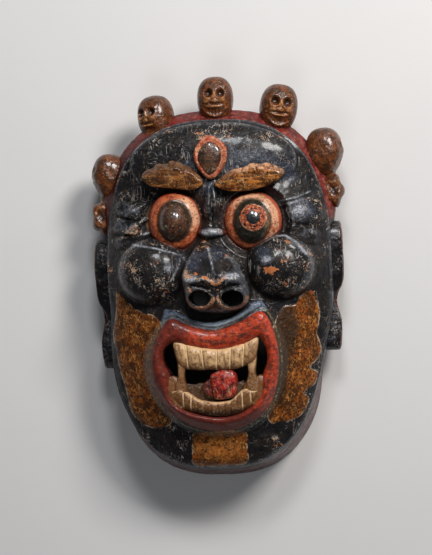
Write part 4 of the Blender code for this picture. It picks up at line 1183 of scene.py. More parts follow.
def cushion(outline, top, drop, square, bottom, size=44, dents=None, bow=None, skew=0.0):
    """Height top - drop (1 - (1 - s^p)^(1/p)) at share s of the way out, then straight down."""
    skin = Skin()
    middle, reach = reach_of(smooth_loop(outline, 16))
    angle, share = squared_circle(size, size)
    share = 1 - (1 - share) ** 1.7
    across = share * reach(angle)
    x = middle[0] + across * np.cos(angle)
    y = middle[1] + across * np.sin(angle)
    z = top - drop * (1 - np.clip(1 - share ** square, 0, 1) ** (1 / square)) + skew * (y - middle[1])
    if dents is not None:
        z = z + dents(x, y, share)
    spots = np.stack([x, y, z], -1)
    z = z - (0.5 * uneven(spots, MEDIUM) + 0.35 * uneven(spots, FINE)) * (1 - share ** 8)
    grid = skin.put(x, y, z)
    skin.net(grid)
    loop = edge_of(grid)
    for depth in np.linspace(0.15, 1, 6):
        edge_x, edge_y, edge_z = edge_of(x), edge_of(y), edge_of(z)
        ring = skin.put(edge_x, edge_y, edge_z + (bottom - edge_z) * depth)
        skin.wall(loop, ring)
        loop = ring
    below = skin.put(x, y, bottom)
    skin.wall(loop, edge_of(below))
    skin.net(below, -1)
    return skin


# %% Brows
LEFT_BROW = [(-71, 103), (-68, 110), (-60, 113), (-56, 117), (-47, 116.5), (-42, 119.5), (-34, 118), (-29, 115),
              (-22, 111.5), (-11, 99), (-13, 92), (-22, 89.5), (-36, 91), (-52, 93), (-63, 95)]
RIGHT_BROW = [(0, 94), (8, 101.5), (18, 108), (30, 110.5), (37, 114), (47, 113), (53, 114), (62, 110.5), (70, 105),
               (66, 98), (57, 93), (45, 89), (30, 86.5), (12, 87.5)]
BROW_NOTCHES = (
    ((-46, 119), (-44, 113)), ((-38, 120), (-40, 112)), ((-27, 115), (-31, 108)),
    ((30, 113), (27, 106)), ((45, 115), (42, 108)), ((56, 113), (51, 107)),
)
BROW_EDGES = ((-69, -52, -36, -22, -12), (103, 110, 111, 106, 97)), ((1, 18, 42, 58, 69), (93, 103, 108, 106, 101))


def brow_edge(x):
    """Height on the face of the edge that parts a brow's broad side from its chamfer."""
    left, right = (np.interp(x, *edge) for edge in BROW_EDGES)
    return np.where(x < -5, left, right)


def brow_dents(x, y, share):
    """The broad side tips forward to its edge, the chamfer falls away above, knife cuts cross both."""
    above = y - brow_edge(x)
    cut = sum(bell(path_distance(x, y, path) / 1.0) for path in BROW_NOTCHES)
    return 2.0 - 0.16 * np.clip(-above, 0, 30) - 0.7 * np.clip(above, 0, 12) - 2.2 * cut


def brow_paint():
    f = Finish("brow_gilt", GOLD)
    f.colour = gilt_colours(f)
    streaks = f.noise(4, 3.0, 0.6, where=f.stretched((0.22, 1, 1), (0, 0, 0.1)))
    f.lay(f.times(f.step(streaks, 0.5, 0.62), 0.8), (0.46, 0.16, 0.028), height=0.12)
    f.lay(f.times(f.step(streaks, 0.46, 0.36), 0.8), (0.03, 0.011, 0.004))
    upper = f.step(f.add(f.kept("upper"), f.ragged(4, 2.4)), -0.6, 0.8)
    chamfer = f.mix(f.step(f.noise(3, 3.0, 0.65), 0.4, 0.6), (0.05, 0.02, 0.008), (0.24, 0.1, 0.035))
    f.lay(upper, chamfer, 0.28)
    # a painted highlight on the right brow's chamfer
    f.lay(f.times(f.times(upper, f.kept("pale")), f.step(f.noise(4, 4.0, 0.65), 0.4, 0.56)), PEACH, 0.3)
    curls(f, 0.8, (0.5, 0.33, 0.16), 5.0, 0.022, 0.45)
    specks(f, 0.8, TAN, DIRT)
    f.lay(f.times(f.step(f.add(f.kept("edge"), f.ragged(5, 0.6)), 0.75, 1.0), 0.85), DIRT, 0.6)
    # painted shade over the left brow, strongest at its top
    f.lay(f.times(f.kept("dim"), 0.6), (0.055, 0.02, 0.006))
    brush_marks(f, 1.1)
    return f.done(coat=0.45, coat_rough=0.12, metal=0.1)


brow_gilt = brow_paint()
for name, outline, top in (("brow_left", LEFT_BROW, 111), ("brow_right", RIGHT_BROW, 112)):
    mesh = cushion(outline, top, 5, 3.2, 84, 72, brow_dents).mesh(name)
    x, y, z = read_points(mesh).T
    inside = depth_inside(x, y, smooth_loop(outline))
    # where the painted highlight lies on the right brow's chamfer
    pale = bell(oval(x, y, (38, 111), (28, 7))) * 1.3
    # the last number is painted shade over the left brow
    write_values(mesh, upper=y - brow_edge(x), edge=1 - np.clip(inside / 2.5, 0, 1), pale=np.clip(pale, 0, 1),
                 dim=np.clip(-x / 30, 0, 1) * (0.6 + 0.4 * np.clip((y - 100) / 10, 0, 1)))
    piece(name, mesh, brow_gilt, 60)

# %% Third eye
THIRD_RIM = [(-2.5, 143), (11, 134), (13.5, 121), (7, 107), (-3, 99.5), (-13, 107), (-19.5, 121), (-15.5, 135)]
THIRD_BALL = [(-3.5, 137), (6, 131), (8, 120), (3, 109), (-4, 103.5), (-10, 109), (-15.5, 120), (-12, 131)]


def lid_paint():
    f = Finish("lid_paint", ORANGE)
    f.lay(f.step(f.noise(7, 3.0), 0.5, 0.66), RED)
    f.lay(f.times(f.step(f.noise(4.5, 4.0, 0.65), 0.48, 0.6), 0.7), PEACH)
    f.lay(f.times(f.step(f.noise(2.4, 3.0, 0.7), 0.56, 0.44), 0.65), (0.05, 0.016, 0.01))
    curls(f, 0.6, PEACH, 4.0, 0.03, 0.4)
    brush_marks(f, 1.3)
    return f.done(coat=0.15)


def ball_paint():
    f = Finish("ball_brown", (0.085, 0.034, 0.015))
    f.lay(f.step(f.noise(6, 4.0, 0.65), 0.42, 0.6), (0.02, 0.011, 0.008))
    f.lay(f.times(f.step(f.noise(3, 4.0, 0.7), 0.56, 0.68), 0.7), (0.22, 0.11, 0.055))
    reddish = f.noise(5, 3.0, 0.6, where=f.stretched((1, 1, 1), shift=(3, 1, 2)))
    f.lay(f.times(f.step(reddish, 0.6, 0.7), 0.7), (0.2, 0.03, 0.012))
    f.lay(f.times(f.step(f.noise(2.2, 3.0, 0.7), 0.52, 0.42), 0.6), (0.012, 0.008, 0.006))
    f.lay(f.times(f.step(f.add(f.kept("outer"), f.ragged(4, 0.5)), 0.66, 0.92), 0.85), (0.011, 0.012, 0.007))
    specks(f, 1.1, TAN, CLAY)
    curls(f, 0.6, TAN, 5.0, 0.02, 0.5)
    brush_marks(f, 0.8)
    return f.done(coat=0.7, coat_rough=0.1)


def rim_dents(x, y, share):
    return 0.6 * bell((share - 0.9) / 0.08)


ball_brown = ball_paint()
lid_orange = lid_paint()
piece("third_eye_rim", cushion(THIRD_RIM, 105.5, 5, 4, 84, 48, rim_dents).mesh("third_eye_rim"), lid_orange)
piece("third_eye_ball", cushion(THIRD_BALL, 108.5, 5, 2.6, 84, 40).mesh("third_eye_ball"), ball_brown)

# %% [markdown]
# ## Round forms
#
# Balls and skulls start as a sphere laid out by two angles. Its poles are put at the crown and the
# neck, away from the carved features, and each is closed with a fan of triangles.

# %% A sphere that a function reshapes
def ball_skin(shape, rings=48, spokes=72):
    """Points (sin a cos b, cos a, -sin a sin b), with the poles at +Y and -Y, moved by shape(x, y, z)."""
    skin = Skin()
    down = np.linspace(0, np.pi, rings + 1)[1:-1, None]
    round_y = np.linspace(0, 2 * np.pi, spokes, endpoint=False)[None, :]
    x, y, z = np.sin(down) * np.cos(round_y), np.cos(down), -np.sin(down) * np.sin(round_y)
    grid = skin.put(*shape(*np.broadcast_arrays(x, y, z)))
    for upper, lower in zip(grid[:-1], grid[1:]):
        skin.wall(upper, lower)
    for loop, sign, facing in ((grid[0], 1.0, 1), (grid[-1], -1.0, -1)):
        pole = [np.array([value]) for value in (0.0, sign, 0.0)]
        skin.fan(loop, skin.put(*shape(*pole))[0], facing)
    return skin


# %% Eyeballs
def eyeball(centre, radii, top):
    """A half-sunk ellipsoid that bulges out of the lids."""
    def shape(x, y, z):
        spots = np.stack([x * 20 + centre[0], y * 20, z * 20], -1)
        out = 1 - 0.012 * uneven(spots, MEDIUM)
        return centre[0] + radii[0] * x * out, centre[1] + radii[1] * y * out, top - 24 + 24 * z * out
    return shape


def iris_paint():
    f = Finish("iris_paint", (0.012, 0.013, 0.009))
    away = f.add(f.kept("from_pupil"), f.ragged(3, 2.6))
    f.lay(f.step(f.noise(4, 3.0, 0.65), 0.5, 0.64), (0.04, 0.032, 0.018))
    iris = f.mix(f.step(f.noise(3.5, 4.0, 0.65), 0.42, 0.58), (0.17, 0.028, 0.012), ORANGE)
    iris = f.mix(f.step(f.noise(2.2, 3.0, 0.7), 0.56, 0.64), iris, PEACH)
    iris = f.mix(f.step(f.noise(2.8, 3.0, 0.7, where=f.stretched((1, 1, 1), shift=(2, 5, 1))), 0.5, 0.4), iris, BLACK)
    olive = f.mix(f.step(f.noise(3, 3.0, 0.65), 0.42, 0.58), (0.035, 0.02, 0.008), (0.22, 0.09, 0.025))
    f.lay(f.times(f.step(f.add(f.kept("right"), f.ragged(5, 1.0)), 0.3, 0.8), 0.85), olive)
    f.lay(f.step(away, 13.6, 12.6), iris, height=0.12)
    ring = f.calc("ABSOLUTE", f.add(away, -12.6))
    ring_parts = f.step(f.noise(4, 2.0), 0.46, 0.56)
    f.lay(f.times(f.times(f.step(ring, 1.0, 0.3), ring_parts), 0.8), PEACH)
    f.lay(f.step(away, 7.0, 6.2), BLACK)
    specks(f, 0.5, TAN, ORANGE)
    brush_marks(f, 0.5)
    return f.done(coat=0.8, coat_rough=0.08)


PUPIL = (38.0, 60.0)
iris = iris_paint()
for name, (centre, _, radii), look in (("eyeball_left", EYES[0], ball_brown), ("eyeball_right", EYES[1], iris)):
    mesh = ball_skin(eyeball(centre, radii, 121), 64, 96).mesh(name)
    x, y, z = read_points(mesh).T
    write_values(mesh, from_pupil=np.hypot(x - PUPIL[0], y - PUPIL[1]), right=np.clip((x - 44) / 9, 0, 1),
                 outer=oval(x, y, centre, radii))
    piece(name, mesh, look, 80)

# %% [markdown]
# ## Teeth as loaves between two drawn edges
#
# A row of teeth is easier to draw by its gum line and its biting edge than by an outline around a
# middle. The loaf below carries a rounded section from one end to the other between the two edges, and
# shrinks it to a point at both ends.

# %% A loaf between two edges
def along_path(path, count):
    """Evenly spread places on a smooth curve through the points of an open path."""
    points = np.asarray(path, float)
    ends = np.vstack([2 * points[0] - points[1], points, 2 * points[-1] - points[-2]])
    before, here, after, beyond = (ends[k:len(ends) - 3 + k, None] for k in range(4))
    t = np.linspace(0, 1, 24)[None, :, None]
    curve = 2 * here + (after - before) * t
    curve = curve + (2 * before - 5 * here + 4 * after - beyond) * t ** 2
    curve = (curve + (3 * here - before - 3 * after + beyond) * t ** 3).reshape(-1, 2) / 2
    length = np.concatenate([[0], np.cumsum(np.hypot(*np.diff(curve, axis=0).T))])
    wanted = np.linspace(0, length[-1], count)
    return np.stack([np.interp(wanted, length, curve[:, axis]) for axis in (0, 1)], -1)


def loaf(upper, lower, back, front, dents=None, count=120, section=40, square=3.2, ends=7.0):
    """Section (cos^(2/p), sin^(2/p)) between the edges and between back and front, times the taper."""
    skin = Skin()
    turn = np.linspace(0, 2 * np.pi, section, endpoint=False)[None, :]
    spread = 0.5 * (1 - np.cos(np.linspace(0, np.pi, count + 2)))[1:-1]
    top, bottom = along_path(upper, 400), along_path(lower, 400)
    steps = np.linspace(0, 1, 400)
    top = np.stack([np.interp(spread, steps, top[:, axis]) for axis in (0, 1)], -1)[:, None]
    bottom = np.stack([np.interp(spread, steps, bottom[:, axis]) for axis in (0, 1)], -1)[:, None]
    taper = (1 - np.abs(2 * spread - 1) ** ends)[:, None] ** (1 / ends)
    share = 0.5 + 0.5 * np.sign(np.cos(turn)) * np.abs(np.cos(turn)) ** (2 / square) * taper
    lift = np.sign(np.sin(turn)) * np.abs(np.sin(turn)) ** (2 / square) * taper
    flat = top * share[..., None] + bottom * (1 - share[..., None])
    x, y = flat[..., 0], flat[..., 1]
    z = (back + front) / 2 + (front - back) / 2 * lift
    if dents is not None:
        z = z + dents(x, y, share) * (lift > 0) * np.clip(lift, 0, 1) ** 0.5
    spots = np.stack([x, y, z], -1)
    z = z - 0.5 * uneven(spots, MEDIUM) - 0.3 * uneven(spots, FINE)
    grid = skin.put(x, y, z)
    for left, right in zip(grid[:-1], grid[1:]):
        skin.wall(left, right)
    for loop, row, facing in ((grid[0], 0, 1), (grid[-1], -1, -1)):
        skin.fan(loop, skin.put(x[row].mean(keepdims=True), y[row].mean(keepdims=True),
                                z[row].mean(keepdims=True))[0], facing)
    return skin


# %% Upper teeth
TOOTH_SEAMS = ((-30.8, -33.5), (-15.8, -18.2), (-3.2, -2.4), (9.7, 11.7), (22.0, 24.9))
UPPER_GUM = [(-47.5, -56.5), (-39.7, -59), (-31, -62), (-21.6, -64.5), (-11.8, -66.5), (-0.6, -67.5), (8, -66.5),
             (16.4, -64.5), (25, -62), (32, -58.5), (40.5, -52.5)]
UPPER_BITE = [(-41, -87), (-33.7, -87.2), (-26.7, -87.4), (-19.7, -88.2), (-9.8, -87.8), (-2.8, -88.4), (4.2, -88.6),
              (12.6, -88.4), (21, -86.8), (27, -85), (33.8, -87)]

def seam_distance(x, y, seams, top, bottom):
    """Distance to the nearest seam, whose x runs from its upper to its lower value."""
    share = np.clip((y - bottom) / (top - bottom), 0, 1)
    return np.min([np.abs(x - (low + (high - low) * share)) for low, high in seams], 0)


def upper_dents(x, y, share):
    """A bow from side to side, rounded teeth, and narrow grooves between them."""
    away = seam_distance(x, y, TOOTH_SEAMS, -57, -88)
    return -4.5 * ((x + 4) / 46) ** 2 - 1.5 * bell(away / 1.1) + 0.5 * np.clip(away / 5, 0, 1)


def tooth_paint():
    f = Finish("tooth_ivory", IVORY)
    low = f.add(f.kept("low"), f.ragged(6, 0.9))
    f.lay(f.step(low, 0.1, 0.9, 0.0, 0.95), TOOTH_BROWN)
    stains = f.noise(4, 4.0, 0.65, where=f.stretched((1, 0.35, 1)))
    f.lay(f.times(f.step(stains, 0.48, 0.64), 0.8), (0.1, 0.042, 0.014))
    f.lay(f.times(f.step(f.noise(2.0, 3.0, 0.7), 0.54, 0.66), 0.7), (0.03, 0.014, 0.007))
    seam = f.step(f.add(f.kept("seam"), f.ragged(3, 0.8)), 1.0, 0.4)
    f.lay(f.times(seam, 0.75), (0.58, 0.4, 0.22))
    rim = f.times(f.step(f.kept("rim"), 0.3, 0.85), f.step(f.noise(4, 3.0, 0.6), 0.34, 0.5))
    f.lay(f.times(rim, 0.9), (0.6, 0.38, 0.2))
    # darker where a piece lies deeper in the mouth, and towards the foot of the lower row
    f.lay(f.times(f.step(f.kept("grime"), 0.2, 1.0), 0.9), (0.03, 0.013, 0.006), 0.6)
    curls(f, 0.5, (0.55, 0.38, 0.2), 4.0, 0.025, 0.5)
    brush_marks(f, 0.9)
    return f.done(coat=0.2, coat_rough=0.25)


ivory = tooth_paint()


def teeth(name, skin, low, seam, rim, grime, look=ivory, sharp=60):
    """Paints a piece of the teeth with four numbers from each point's place."""
    mesh = skin.mesh(name)
    x, y, z = read_points(mesh).T
    write_values(mesh, low=low(x, y, z), seam=seam(x, y), rim=rim(x, y, z), grime=grime(x, y, z))
    return piece(name, mesh, look, sharp)


def gum_y(x):
    return np.interp(x, *np.array(UPPER_GUM).T)


def bite_y(x):
    return np.interp(x, *np.array(UPPER_BITE).T)


teeth(
    "upper_teeth", loaf(UPPER_GUM, UPPER_BITE, 95, 116, upper_dents, 260, 56),
    low=lambda x, y, z: np.clip((gum_y(x) - y) / 27, 0, 1) * 0.8 + 0.25 * bell((x + 44) / 5) + 0.3 * bell((x - 34) / 6),
    seam=lambda x, y: seam_distance(x, y, TOOTH_SEAMS, -57, -88),
    rim=lambda x, y, z: bell((gum_y(x) - y - 1.5) / 2.2) * 0.9,
    grime=lambda x, y, z: np.clip((108 - z) / 6, 0, 1))

# %% The lower jaw
JAW_FLOOR = [(-38, -101), (-29, -103), (-20, -101), (-8, -104), (14, -102), (20, -102), (26, -99), (28, -112),
             (16, -124), (-5, -126), (-26, -122), (-38, -113)]
JAW_LEFT = [(-34, -104), (-37, -99.5), (-40, -96), (-44, -94), (-48, -93), (-53, -96), (-54, -106), (-52, -116),
            (-44, -125), (-36, -125), (-33, -116)]
JAW_RIGHT = [(22, -106), (26, -99), (30, -95.5), (34, -96.5), (39, -94.5), (43, -97), (43, -106), (40, -115),
             (32, -124), (25, -120), (22, -113)]
LEFT_FANG = ([(-33.0, -78), (-34.3, -86), (-35.2, -92), (-35.0, -98), (-33.4, -105), (-33, -119)],
             [(-43.8, -74), (-42.3, -83), (-42.0, -90), (-43.2, -96.5), (-46.5, -104), (-49, -119)])
RIGHT_FANG = ([(25.6, -77), (26.6, -85), (27.2, -91), (26.2, -97), (24, -104), (23, -118)],
              [(37.4, -73), (35.7, -83), (34.8, -90), (35.6, -96), (38.6, -103), (40, -118)])
LOWER_TOP = [(-48, -107), (-42, -104.5), (-36, -107), (-29, -112), (-22, -116.7), (-13.6, -118.8), (-2.4, -119.4),
             (8.9, -118), (14.7, -113.5), (20.5, -108.5), (26, -106.5), (31, -108.5), (38, -107)]
LOWER_FOOT = [(-52, -116), (-46, -121), (-38, -126), (-25.8, -130), (-14.6, -133), (-0.6, -134.5), (13.6, -132.6),
              (25, -127.5), (34, -120.5), (40, -112)]
LOWER_SEAMS = ((-37, -37), (-30, -29), (-24, -22.5), (-17, -16), (-10.5, -10), (-4, -4), (3, 3), (9, 9.5),
               (15, 15.5), (21, 21), (29.5, 29))


def no_seam(x, y):
    """Far from every seam."""
    return np.full_like(x, 9.0)


def no_rim(x, y, z):
    return np.zeros_like(x)


def lower_y(x):
    return np.interp(x, *np.array(LOWER_TOP).T)


def lower_dents(x, y, share):
    """The row bows back at its ends, leans out to its foot and dips in narrow grooves."""
    away = seam_distance(x, y, LOWER_SEAMS, -104, -130)
    return -2.5 * ((x + 5) / 45) ** 2 - 0.9 * bell(away / 0.8) + 4 * (share - 0.5)


for name, outline, top in (("jaw_floor", JAW_FLOOR, 103), ("jaw_left", JAW_LEFT, 110), ("jaw_right", JAW_RIGHT, 110)):
    worn_brown = 1.15 if name == "jaw_floor" else 0.95
    teeth(
        name, cushion(outline, top, 4, 3, 94, 48),
        low=lambda x, y, z: np.full_like(x, worn_brown) + 0.3 * bell((z - 103) / 3),
        seam=no_seam, rim=no_rim,
        grime=lambda x, y, z: np.clip((104.5 - z) / 6, 0, 1) + (0.45 if top < 105 else 0.0))
for name, (inner, outer) in (("fang_left", LEFT_FANG), ("fang_right", RIGHT_FANG)):
    first, second = (inner, outer) if name == "fang_left" else (outer, inner)
    teeth(
        name, loaf(first, second, 94, 111.5, None, 90, 44, 4.0, 5.0),
        low=lambda x, y, z: 0.45 + 0.5 * np.clip((-84 - y) / 12, 0, 1),
        seam=no_seam, rim=no_rim,
        grime=lambda x, y, z: np.clip((108 - z) / 7, 0, 1))
teeth(
    "lower_teeth", loaf(LOWER_TOP, LOWER_FOOT, 93, 114, lower_dents, 260, 56, 2.8),
    low=lambda x, y, z: 0.7 + np.clip((lower_y(x) - y - 1.5) / 3.0, 0, 1.4),
    seam=lambda x, y: seam_distance(x, y, LOWER_SEAMS, -104, -130) + 1.2 * (np.abs(x + 4) < 22),
    rim=lambda x, y, z: bell((lower_y(x) - y - 1.2) / 1.7),
    grime=lambda x, y, z: np.clip((103 - z) / 8, 0, 1) + np.clip((-122 - y) / 8, 0, 0.8))

# %% Tongue
TONGUE = [(-10, -94), (-4, -90), (2, -88.3), (9, -88.3), (13.5, -90), (16, -95), (16, -105), (13.5, -114), (4, -117),
          (-6, -116), (-9, -105)]
TONGUE_LOBE = [(-18, -103), (-13, -98), (-8, -97), (-5, -105), (-6, -113), (-12, -114), (-17.5, -109)]

def tongue_paint():
    f = Finish("tongue_red", (0.3, 0.018, 0.01))
    f.lay(f.step(f.noise(6, 4.0, 0.6), 0.42, 0.58), (0.07, 0.008, 0.006))
    left = f.add(f.kept("left"), f.ragged(5, 0.9))
    f.lay(f.step(left, 0.3, 0.8, 0.0, 0.85), (0.06, 0.018, 0.012))
    # a painted pink highlight on the tongue's top
    f.lay(f.times(f.step(f.noise(4, 3.0), 0.5, 0.66), f.step(f.kept("tip"), 0.15, 0.8)), SHEEN_PINK)
    curls(f, 0.6, (0.5, 0.13, 0.08), 5.0, 0.024, 0.47)
    specks(f, 0.9, PEACH, CLAY)
    scratches(f, 0.5, PEACH, 0.5)
    brush_marks(f, 1.4)
    return f.done(coat=0.35, coat_rough=0.16)


tongue_red = tongue_paint()
for name, outline, top in (("tongue", TONGUE, 116), ("tongue_side", TONGUE_LOBE, 109)):
    mesh = cushion(outline, top, 8 if top > 110 else 4, 3.4, 93, 48).mesh(name)
    x, y, z = read_points(mesh).T
    # the tongue's top, where the painted highlight lies
    write_values(mesh, left=np.clip((-x - 4) / 12, 0, 1), tip=bell(oval(x, y, (3, -92), (12, 6))))
    piece(name, mesh, tongue_red)

# %% [markdown]
# ## The crown of skulls
#
# Five small skulls stand on the band. All are one form: a superellipsoid, narrower at the jaw, with
# the face pressed into it as a list of dents and swellings. Each is turned the way it looks outwards.

# %% One skull
SKULL_WIDTH = 35.5
SKULL_HEIGHT = 47.0
SKULL_DEPTH = 34.0
SOCKETS = (((-5.7, 6.6), (4.3, 4.6)), ((5.9, 6.2), (4.3, 4.6)))
SKULL_MARKS = (
    ((0.0, 3.0), (1.9, 6.0), 1.4, 0.0),
    ((0.0, -1.6), (3.4, 1.6), 1.7, 0.0),
    ((-8.0, -1.0), (3.4, 2.8), 1.8, 0.0),
    ((8.0, -1.0), (3.4, 2.8), 1.8, 0.0),
    ((0.0, -4.4), (6.0, 1.0), -1.0, 0.0),
    ((-0.5, -7.0), (9.5, 1.3), 2.2, 0.012),
    ((0.0, -16.0), (9.5, 1.2), 1.8, 0.05),
    ((0.0, -18.4), (8.0, 1.2), -1.2, 0.05),
)
SKULL_TEETH = 3.1


def skull_relief(x, y):
    """Round sockets with a rim, then each mark along a parabola, then teeth as a wave in the mouth."""
    mouth = bell(oval(x, y, (0, -11.4), (9.0, 2.6)))
    relief = -(1.1 + 0.6 * np.cos(2 * np.pi * x / SKULL_TEETH)) * mouth
    for centre, radii in SOCKETS:
        away = oval(x, y, centre, radii)
        lower = ease(centre[1] - y, -3, 3)
        relief = relief + (0.4 + 0.9 * lower) * bell((away - 1.2) / 0.22) - 4.6 * (1 - ease(away, 0.25, 1.1))
    for middle, radii, raised, bend in SKULL_MARKS:
        relief = relief + raised * bell(oval(x, y - bend * x ** 2, middle, radii))
    return relief


def skull_shape(x, y, z, marked=1.0):
    """Looks along +Z with its crown at +Y; a point of the unit ball moves out to the superellipsoid."""
    fuller = (np.abs(x) ** 2.5 + np.abs(y) ** 2.5 + np.abs(z) ** 2.5) ** (-1 / 2.5)
    jaw = np.clip(-y, 0, 1) ** 1.4
    wide = SKULL_WIDTH / 2 * x * fuller * (1 - 0.2 * jaw)
    tall = SKULL_HEIGHT / 2 * y * fuller
    flatter = np.where(z > 0, 0.75 - 0.6 * marked, 0.65 - 0.2 * marked)
    deep = SKULL_DEPTH / 2 * z * fuller * (1 - flatter * jaw)
    return wide, tall, deep + marked * np.clip(z, 0, 1) ** 0.5 * skull_relief(wide, tall)


SKULLS = (
    ("skull_top", (0.6, 181.3, 52.0), 1.03, 0, 0, 1.0),
    ("skull_top_right", (63.8, 170.4, 50.0), 1.07, 9, 10, 1.0),
    ("skull_top_left", (-60.2, 165.6, 50.0), 1.0, -6, -32, 1.0),
    ("skull_side_right", (109.3, 125.0, 50.0), 1.06, -6, 75, 0.3),
    ("skull_side_left", (-111.0, 108.5, 46.0), 1.0, 6, -75, 0.3),
)

def turned(skin, place, size, tilt, turn):
    """Sizes a skin, turns it about its height, leans it and carries it to its place."""
    look = np.array(Matrix.Rotation(np.radians(turn), 3, "Y"))
    lean = np.array(Matrix.Rotation(np.radians(-tilt), 3, "Z"))
    skin.points = [points * size @ (lean @ look).T + np.array(place) for points in skin.points]
    return skin


# %% Varnished brown wood
def skull_paint():
    f = Finish("skull_varnish", SKULL)
    f.lay(f.step(f.noise(7, 4.0, 0.65), 0.4, 0.6), (0.05, 0.018, 0.006))
    light = f.add(f.kept("worn"), f.ragged(3, 1.2, 4.0))
    f.lay(f.step(light, 0.35, 1.0, 0.0, 0.9), SKULL_LIGHT)
    patches = f.noise(5, 3.0, 0.6, where=f.stretched((1, 1, 1), shift=(2, 3, 1)))
    f.lay(f.times(f.step(patches, 0.55, 0.64), 0.8), (0.2, 0.06, 0.016))
    f.lay(f.times(f.step(f.noise(1.9, 4.0, 0.7), 0.53, 0.6), 0.9), SKULL_DARK)
    f.lay(f.times(f.step(f.add(f.kept("cut"), f.ragged(3, 0.5)), 0.3, 0.95), 0.85), (0.018, 0.007, 0.004), 0.5)
    specks(f, 0.8, (0.5, 0.25, 0.11), CLAY, None, 1.7, 0.7)
    roughened(f, 0.28, 0.5)
    brush_marks(f, 1.5)
    return f.done(coat=0.4, coat_rough=0.14)


skull_varnish = skull_paint()
for name, place, size, tilt, turn, marked in SKULLS:
    skin = ball_skin(lambda x, y, z: skull_shape(x, y, z, marked), 96, 128)
    x, y, z = np.vstack(skin.points).T
    relief = marked * np.clip(z / 8, 0, 1) * skull_relief(x, y)
    skin = turned(skin, place, size, tilt, turn)
    spots = np.vstack(skin.points)
    skin.points = [spots - (0.4 * uneven(spots, MEDIUM) + 0.3 * uneven(spots, FINE))[:, None] * (0, 0, 1)]
    mesh = skin.mesh(name)
    write_values(mesh, worn=np.clip(relief / 1.8, 0, 1), cut=np.clip(-relief / 3.6, 0, 1))
    piece(name, mesh, skull_varnish, 60)

# %% The stubs under the skulls
for name, (px, py, pz), size, tilt, turn, marked in SKULLS:
    inwards = 1 - 17.0 / np.hypot(px, py - WIDEST_Y)
    middle = (px * inwards, WIDEST_Y + (py - WIDEST_Y) * inwards, pz - 6)
    radii = (12, 14, 15)
    if marked < 1:
        middle = (px * 1.03, py - 22, pz - 6)
        radii = (7, 12, 13)
    skin = ball_skin(lambda *way: [place + reach * share for place, reach, share in zip(middle, radii, way)], 30, 40)
    mesh = skin.mesh(name.replace("skull", "stub"))
    write_values(mesh, worn=np.full(len(mesh.vertices), 0.2), cut=np.zeros(len(mesh.vertices)))
    piece(mesh.name, mesh, skull_varnish)

# %% [markdown]
# ## The knobs at the ends of the band
#
# The band ends in a small round knob on each side, with five petals round a hollow. It is a ball whose
# width waves with the direction, with a pit pressed into its front.

# %% Rosettes
ROSETTES = (
    ("rosette_right", (117.0, 86.0, 50.0), (10, 16, 14)),
    ("rosette_left", (-118.3, 68.0, 46.0), (11.2, 17, 14)),
)
for name, (px, py, pz), (rx, ry, rz) in ROSETTES:
    def knob(x, y, z):
        petals = 1 + 0.1 * np.cos(5 * np.arctan2(y, x)) * np.hypot(x, y)
        pit = 5 * bell(np.hypot(x, y) / 0.35) * (z > 0)
        eyes = sum(3.5 * bell(oval(x, y, (side * 0.42, 0.25), (0.22, 0.2))) for side in (-1, 1)) * (z > 0)
        return px + rx * x * petals, py + ry * y * petals, pz + rz * z - pit - eyes

    skin = ball_skin(knob, 56, 80)
    mesh = skin.mesh(name)
    x, y, z = read_points(mesh).T
    middle = bell(oval(x, y, (px, py), (rx * 0.4, ry * 0.4)))
    write_values(mesh, worn=0.7 * bell((oval(x, y, (px, py), (rx, ry)) - 0.6) / 0.15), cut=middle)
    piece(name, mesh, skull_varnish)

# %% [markdown]
# ## Ears
#
# The ears lie along the side wall: a raised rim round a bowl, a narrow waist and a long full lobe. They
# are cushions too, but drawn on the wall, so the outline runs along y and z and the height along x.

# %% A pair of ears
EAR_OUTLINE = [
    (56, 40), (50, 24), (28, 13), (2, 16), (-20, 25), (-42, 23), (-66, 25), (-75, 36), (-64, 46),
    (-42, 44), (-18, 42), (6, 50), (32, 57), (50, 53)]
EARS = (("ear_right", 1, 0.0, 16.0), ("ear_left", -1, -11.5, 20.0))
EAR_ROOT = 8.0


def ear_dents(along, deep, share):
    """A waist, a bowl with a raised rim, a fold inside it and a rounded lobe."""
    waist = bell((along + 22) / 14)
    bowl = np.exp(-oval(along, deep, (24, 35), (24, 13)) ** 4)
    fold = bell(path_distance(along, deep, ((44, 36), (30, 30), (12, 34), (2, 38))) / 2.2)
    lobe = np.clip(-along / 20 - 0.5, 0, 1)
    slit = bell(path_distance(along, deep, ((-38, 34), (-50, 34), (-60, 34))) / 2.0)
    return -7 * waist - 8 * bowl - 4 * lobe + 2.6 * fold - 2.2 * slit


def dark_paint():
    f = Finish("dark_paint", BLACK)
    f.lay(f.step(f.noise(9, 4.0, 0.65), 0.42, 0.62), BROWN_BLACK)
    f.lay(f.times(f.step(f.noise(9, 4.0), 0.5, 0.7), 0.5), BLUE_GREY)
    f.lay(f.times(f.step(f.add(f.kept("worn"), f.ragged(5, 0.9)), 0.5, 0.9), 0.7), SKULL)
    curls(f, 0.5, BONE_WHITE, 8.0, 0.017, 0.5)
    specks(f, 1.0, TAN, SKULL)
    brush_marks(f, 1.1)
    return f.done(coat=0.3, coat_rough=0.15)


dark = dark_paint()
for name, side, lower, stand in EARS:
    skin = cushion(EAR_OUTLINE, stand + EAR_ROOT, 8, 5, 0.0, 72, ear_dents)
    flat = np.vstack(skin.points)
    root = side * (HALF_WIDTH - EAR_ROOT - 3)
    skin.points = [np.stack([root + side * flat[:, 2], flat[:, 0] + lower, flat[:, 1]], -1)]
    if side < 0:
        skin.faces = [faces[:, ::-1] for faces in skin.faces]
    mesh = skin.mesh(name)
    outer = bell((depth_inside(flat[:, 0], flat[:, 1], smooth_loop(EAR_OUTLINE)) - 2) / 2)
    write_values(mesh, worn=outer * (flat[:, 2] > 8))
    piece(name, mesh, dark, 60)

